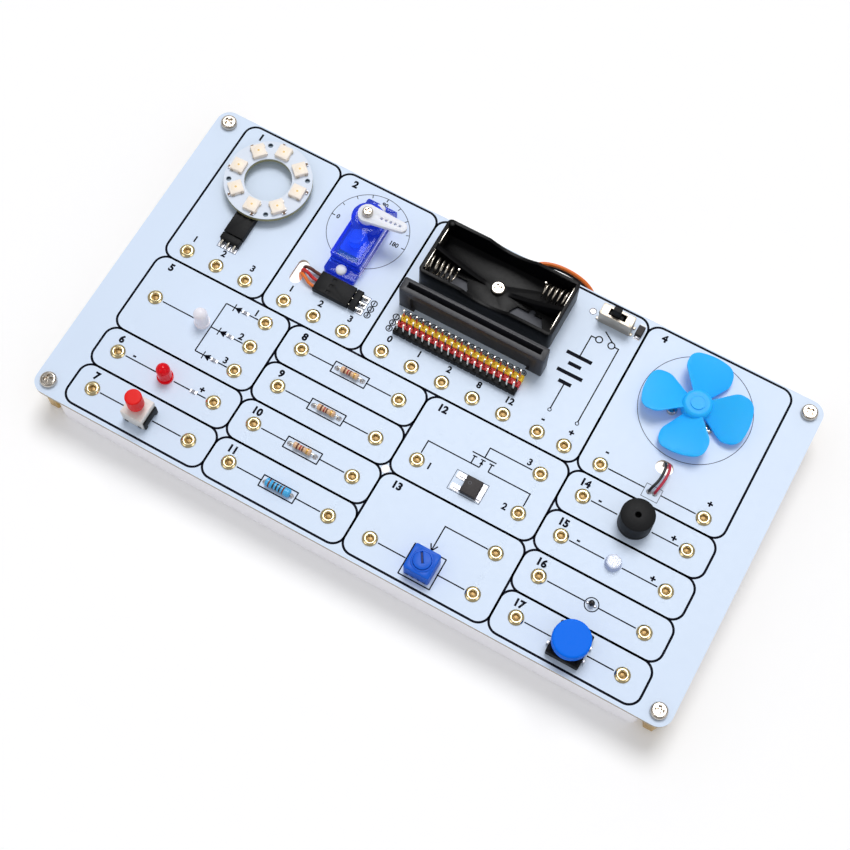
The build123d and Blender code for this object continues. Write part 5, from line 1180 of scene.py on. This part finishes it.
def fan_lead_route(tab_shift, slot_shift, bulge_shift, pad_shift, pad_drop):
    """Points of one fan lead, by its shift from the fan's axis at the tab, slot, bulge and pad."""
    tab_x = motor_x + tab_shift
    slot_x = motor_x + slot_shift
    bulge_x = motor_x + bulge_shift
    pad_x = motor_x + pad_shift
    pad_y = TOP_ROW - pad_drop
    return [
        (tab_x, motor_tab_y, motor_tab_height),
        (tab_x, motor_tab_y - 3.4, motor_tab_height),
        (slot_x, FAN_SLOT_BACK + 0.6, motor_tab_height + 1.8),
        (slot_x, FAN_SLOT_BACK - 1.1, -2.2),
        (slot_x + 0.3, FAN_SLOT_BACK - 1.0, 1.6),
        (bulge_x, FAN_SLOT_BACK - 3.6, 3.0),
        (bulge_x, pad_y + 4.6, 2.7),
        (pad_x + 0.3, pad_y + 0.9, 2.3),
        (pad_x, pad_y, 1.3),
        (pad_x, pad_y, 0),
    ]


lead("fan_wire_black", fan_lead_route(-1.0, -0.5, 0.8, -0.7, 0.5), 1.0, lead_black)
lead("fan_wire_red", fan_lead_route(1.0, 0.9, 2.3, 1.3, 0.3), 1.0, fan_red)
fan_joints = [lathe(LEAD_JOINT, (motor_x + x, y), 24) for x, y in ((-0.7, 6.3), (1.3, 6.5))]
piece("fan_lead_joints", fan_joints, solder)


# Stage


def rays(tree, *kinds):
    """A socket that is 1 for rays of any of the given kinds and 0 for all others."""
    path = tree.nodes.new("ShaderNodeLightPath")
    total = path.outputs[kinds[0]]
    for kind in kinds[1:]:
        either = sum_node(tree, "MAXIMUM")
        tree.links.new(total, either.inputs[0])
        tree.links.new(path.outputs[kind], either.inputs[1])
        total = either.outputs[0]
    return total


def chosen(tree, test, otherwise, picked):
    """A shader that is one of two, by a socket that is 0 or 1."""
    mix = tree.nodes.new("ShaderNodeMixShader")
    for socket, source in zip(mix.inputs, (test, otherwise.outputs[0], picked.outputs[0])):
        tree.links.new(source, socket)
    return mix


def floor_material():
    """A white floor that shows as pure white to the camera, apart from the object's soft shadow."""
    material = bpy.data.materials.new("floor_white")
    material.use_nodes = True
    tree = material.node_tree
    tree.nodes.clear()
    output = tree.nodes.new("ShaderNodeOutputMaterial")
    plain = node(tree, "ShaderNodeBsdfDiffuse", Color=(0.97, 0.97, 0.98, 1.0))
    bright = node(tree, "ShaderNodeEmission", Color=(1.0, 1.0, 1.0, 1.0), Strength=0.09)
    dim = node(tree, "ShaderNodeBsdfDiffuse", Color=(0.8, 0.8, 0.82, 1.0))
    added = tree.nodes.new("ShaderNodeAddShader")
    tree.links.new(plain.outputs[0], added.inputs[0])
    tree.links.new(bright.outputs[0], added.inputs[1])
    seen = rays(tree, "Is Camera Ray", "Is Glossy Ray", "Is Transmission Ray")
    tree.links.new(chosen(tree, seen, dim, added).outputs[0], output.inputs["Surface"])
    return material


FLOOR_REACH = 3.0
floor_corners = [(x * FLOOR_REACH, y * FLOOR_REACH, 0) for x, y in ((-1, -1), (1, -1), (1, 1), (-1, 1))]
floor_mesh = bpy.data.meshes.new("floor")
floor_mesh.from_pydata(floor_corners, [], [(0, 1, 2, 3)])
floor_mesh.materials.append(floor_material())
linked("floor", floor_mesh)


def studio_world(even_sky, base, patches):
    """An even white sky for matt surfaces, and one with soft bright patches for what shines.

    A patch is given by its azimuth and elevation in degrees, its half width in degrees and its strength.
    Its brightness rises smoothly with the cosine of the angle from its middle.
    """
    world = bpy.data.worlds.new("studio")
    bpy.context.scene.world = world
    world.use_nodes = True
    tree = world.node_tree
    join = tree.links.new
    place = tree.nodes.new("ShaderNodeTexCoord")
    total = None
    for azimuth, elevation, width, strength in patches:
        around = math.radians(azimuth)
        lift = math.radians(elevation)
        match = tree.nodes.new("ShaderNodeVectorMath")
        match.operation = "DOT_PRODUCT"
        heading = (math.cos(around) * math.cos(lift), math.sin(around) * math.cos(lift), math.sin(lift))
        match.inputs[1].default_value = heading
        join(place.outputs["Generated"], match.inputs[0])
        ramp = node(tree, "ShaderNodeMapRange", To_Min=0.0 if total else base, To_Max=strength)
        ramp.interpolation_type = "SMOOTHSTEP"
        ramp.inputs["From Min"].default_value = math.cos(math.radians(width * 1.35))
        ramp.inputs["From Max"].default_value = math.cos(math.radians(width * 0.7))
        join(match.outputs["Value"], ramp.inputs["Value"])
        if total:
            joined = sum_node(tree, "ADD")
            join(total, joined.inputs[0])
            join(ramp.outputs[0], joined.inputs[1])
            total = joined.outputs[0]
        else:
            total = ramp.outputs[0]
    even = tree.nodes["Background"]
    even.inputs["Color"].default_value = (1.0, 1.0, 1.0, 1.0)
    even.inputs["Strength"].default_value = even_sky
    shiny = tree.nodes.new("ShaderNodeBackground")
    join(total, shiny.inputs["Strength"])
    white = node(tree, "ShaderNodeBackground", Color=(1.0, 1.0, 1.0, 1.0))
    lit = chosen(tree, rays(tree, "Is Glossy Ray"), even, shiny)
    shown = chosen(tree, rays(tree, "Is Camera Ray", "Is Transmission Ray"), lit, white)
    join(shown.outputs[0], tree.nodes["World Output"].inputs["Surface"])


studio_world(0.53, 0.44, ((119, 48, 13, 1.7), (235, 45, 14, 1.3), (0, 45, 14, 1.4)))
bpy.context.scene.view_settings.view_transform = "Standard"

SUN_HEADING = (-0.16, 0.74, 1.6)
sun = bpy.data.lights.new("key_lamp", "SUN")
sun.energy = 1.42
sun.angle = math.radians(28)
key_lamp = linked("key_lamp", sun)
key_lamp.rotation_euler = Vector(SUN_HEADING).to_track_quat("Z", "Y").to_euler()

# Camera, fitted to the terminal grid in the photograph
CAMERA_PLACE = (0.094318, -0.186345, 0.523565)
CAMERA_TURN = (21.398, -0.784, 29.109)
camera_data = bpy.data.cameras.new("camera")
camera_data.sensor_width = 36.0
camera_data.lens = 67.30
camera = linked("camera", camera_data)
camera.location = CAMERA_PLACE
camera.rotation_euler = [math.radians(degrees) for degrees in CAMERA_TURN]
bpy.context.scene.camera = camera
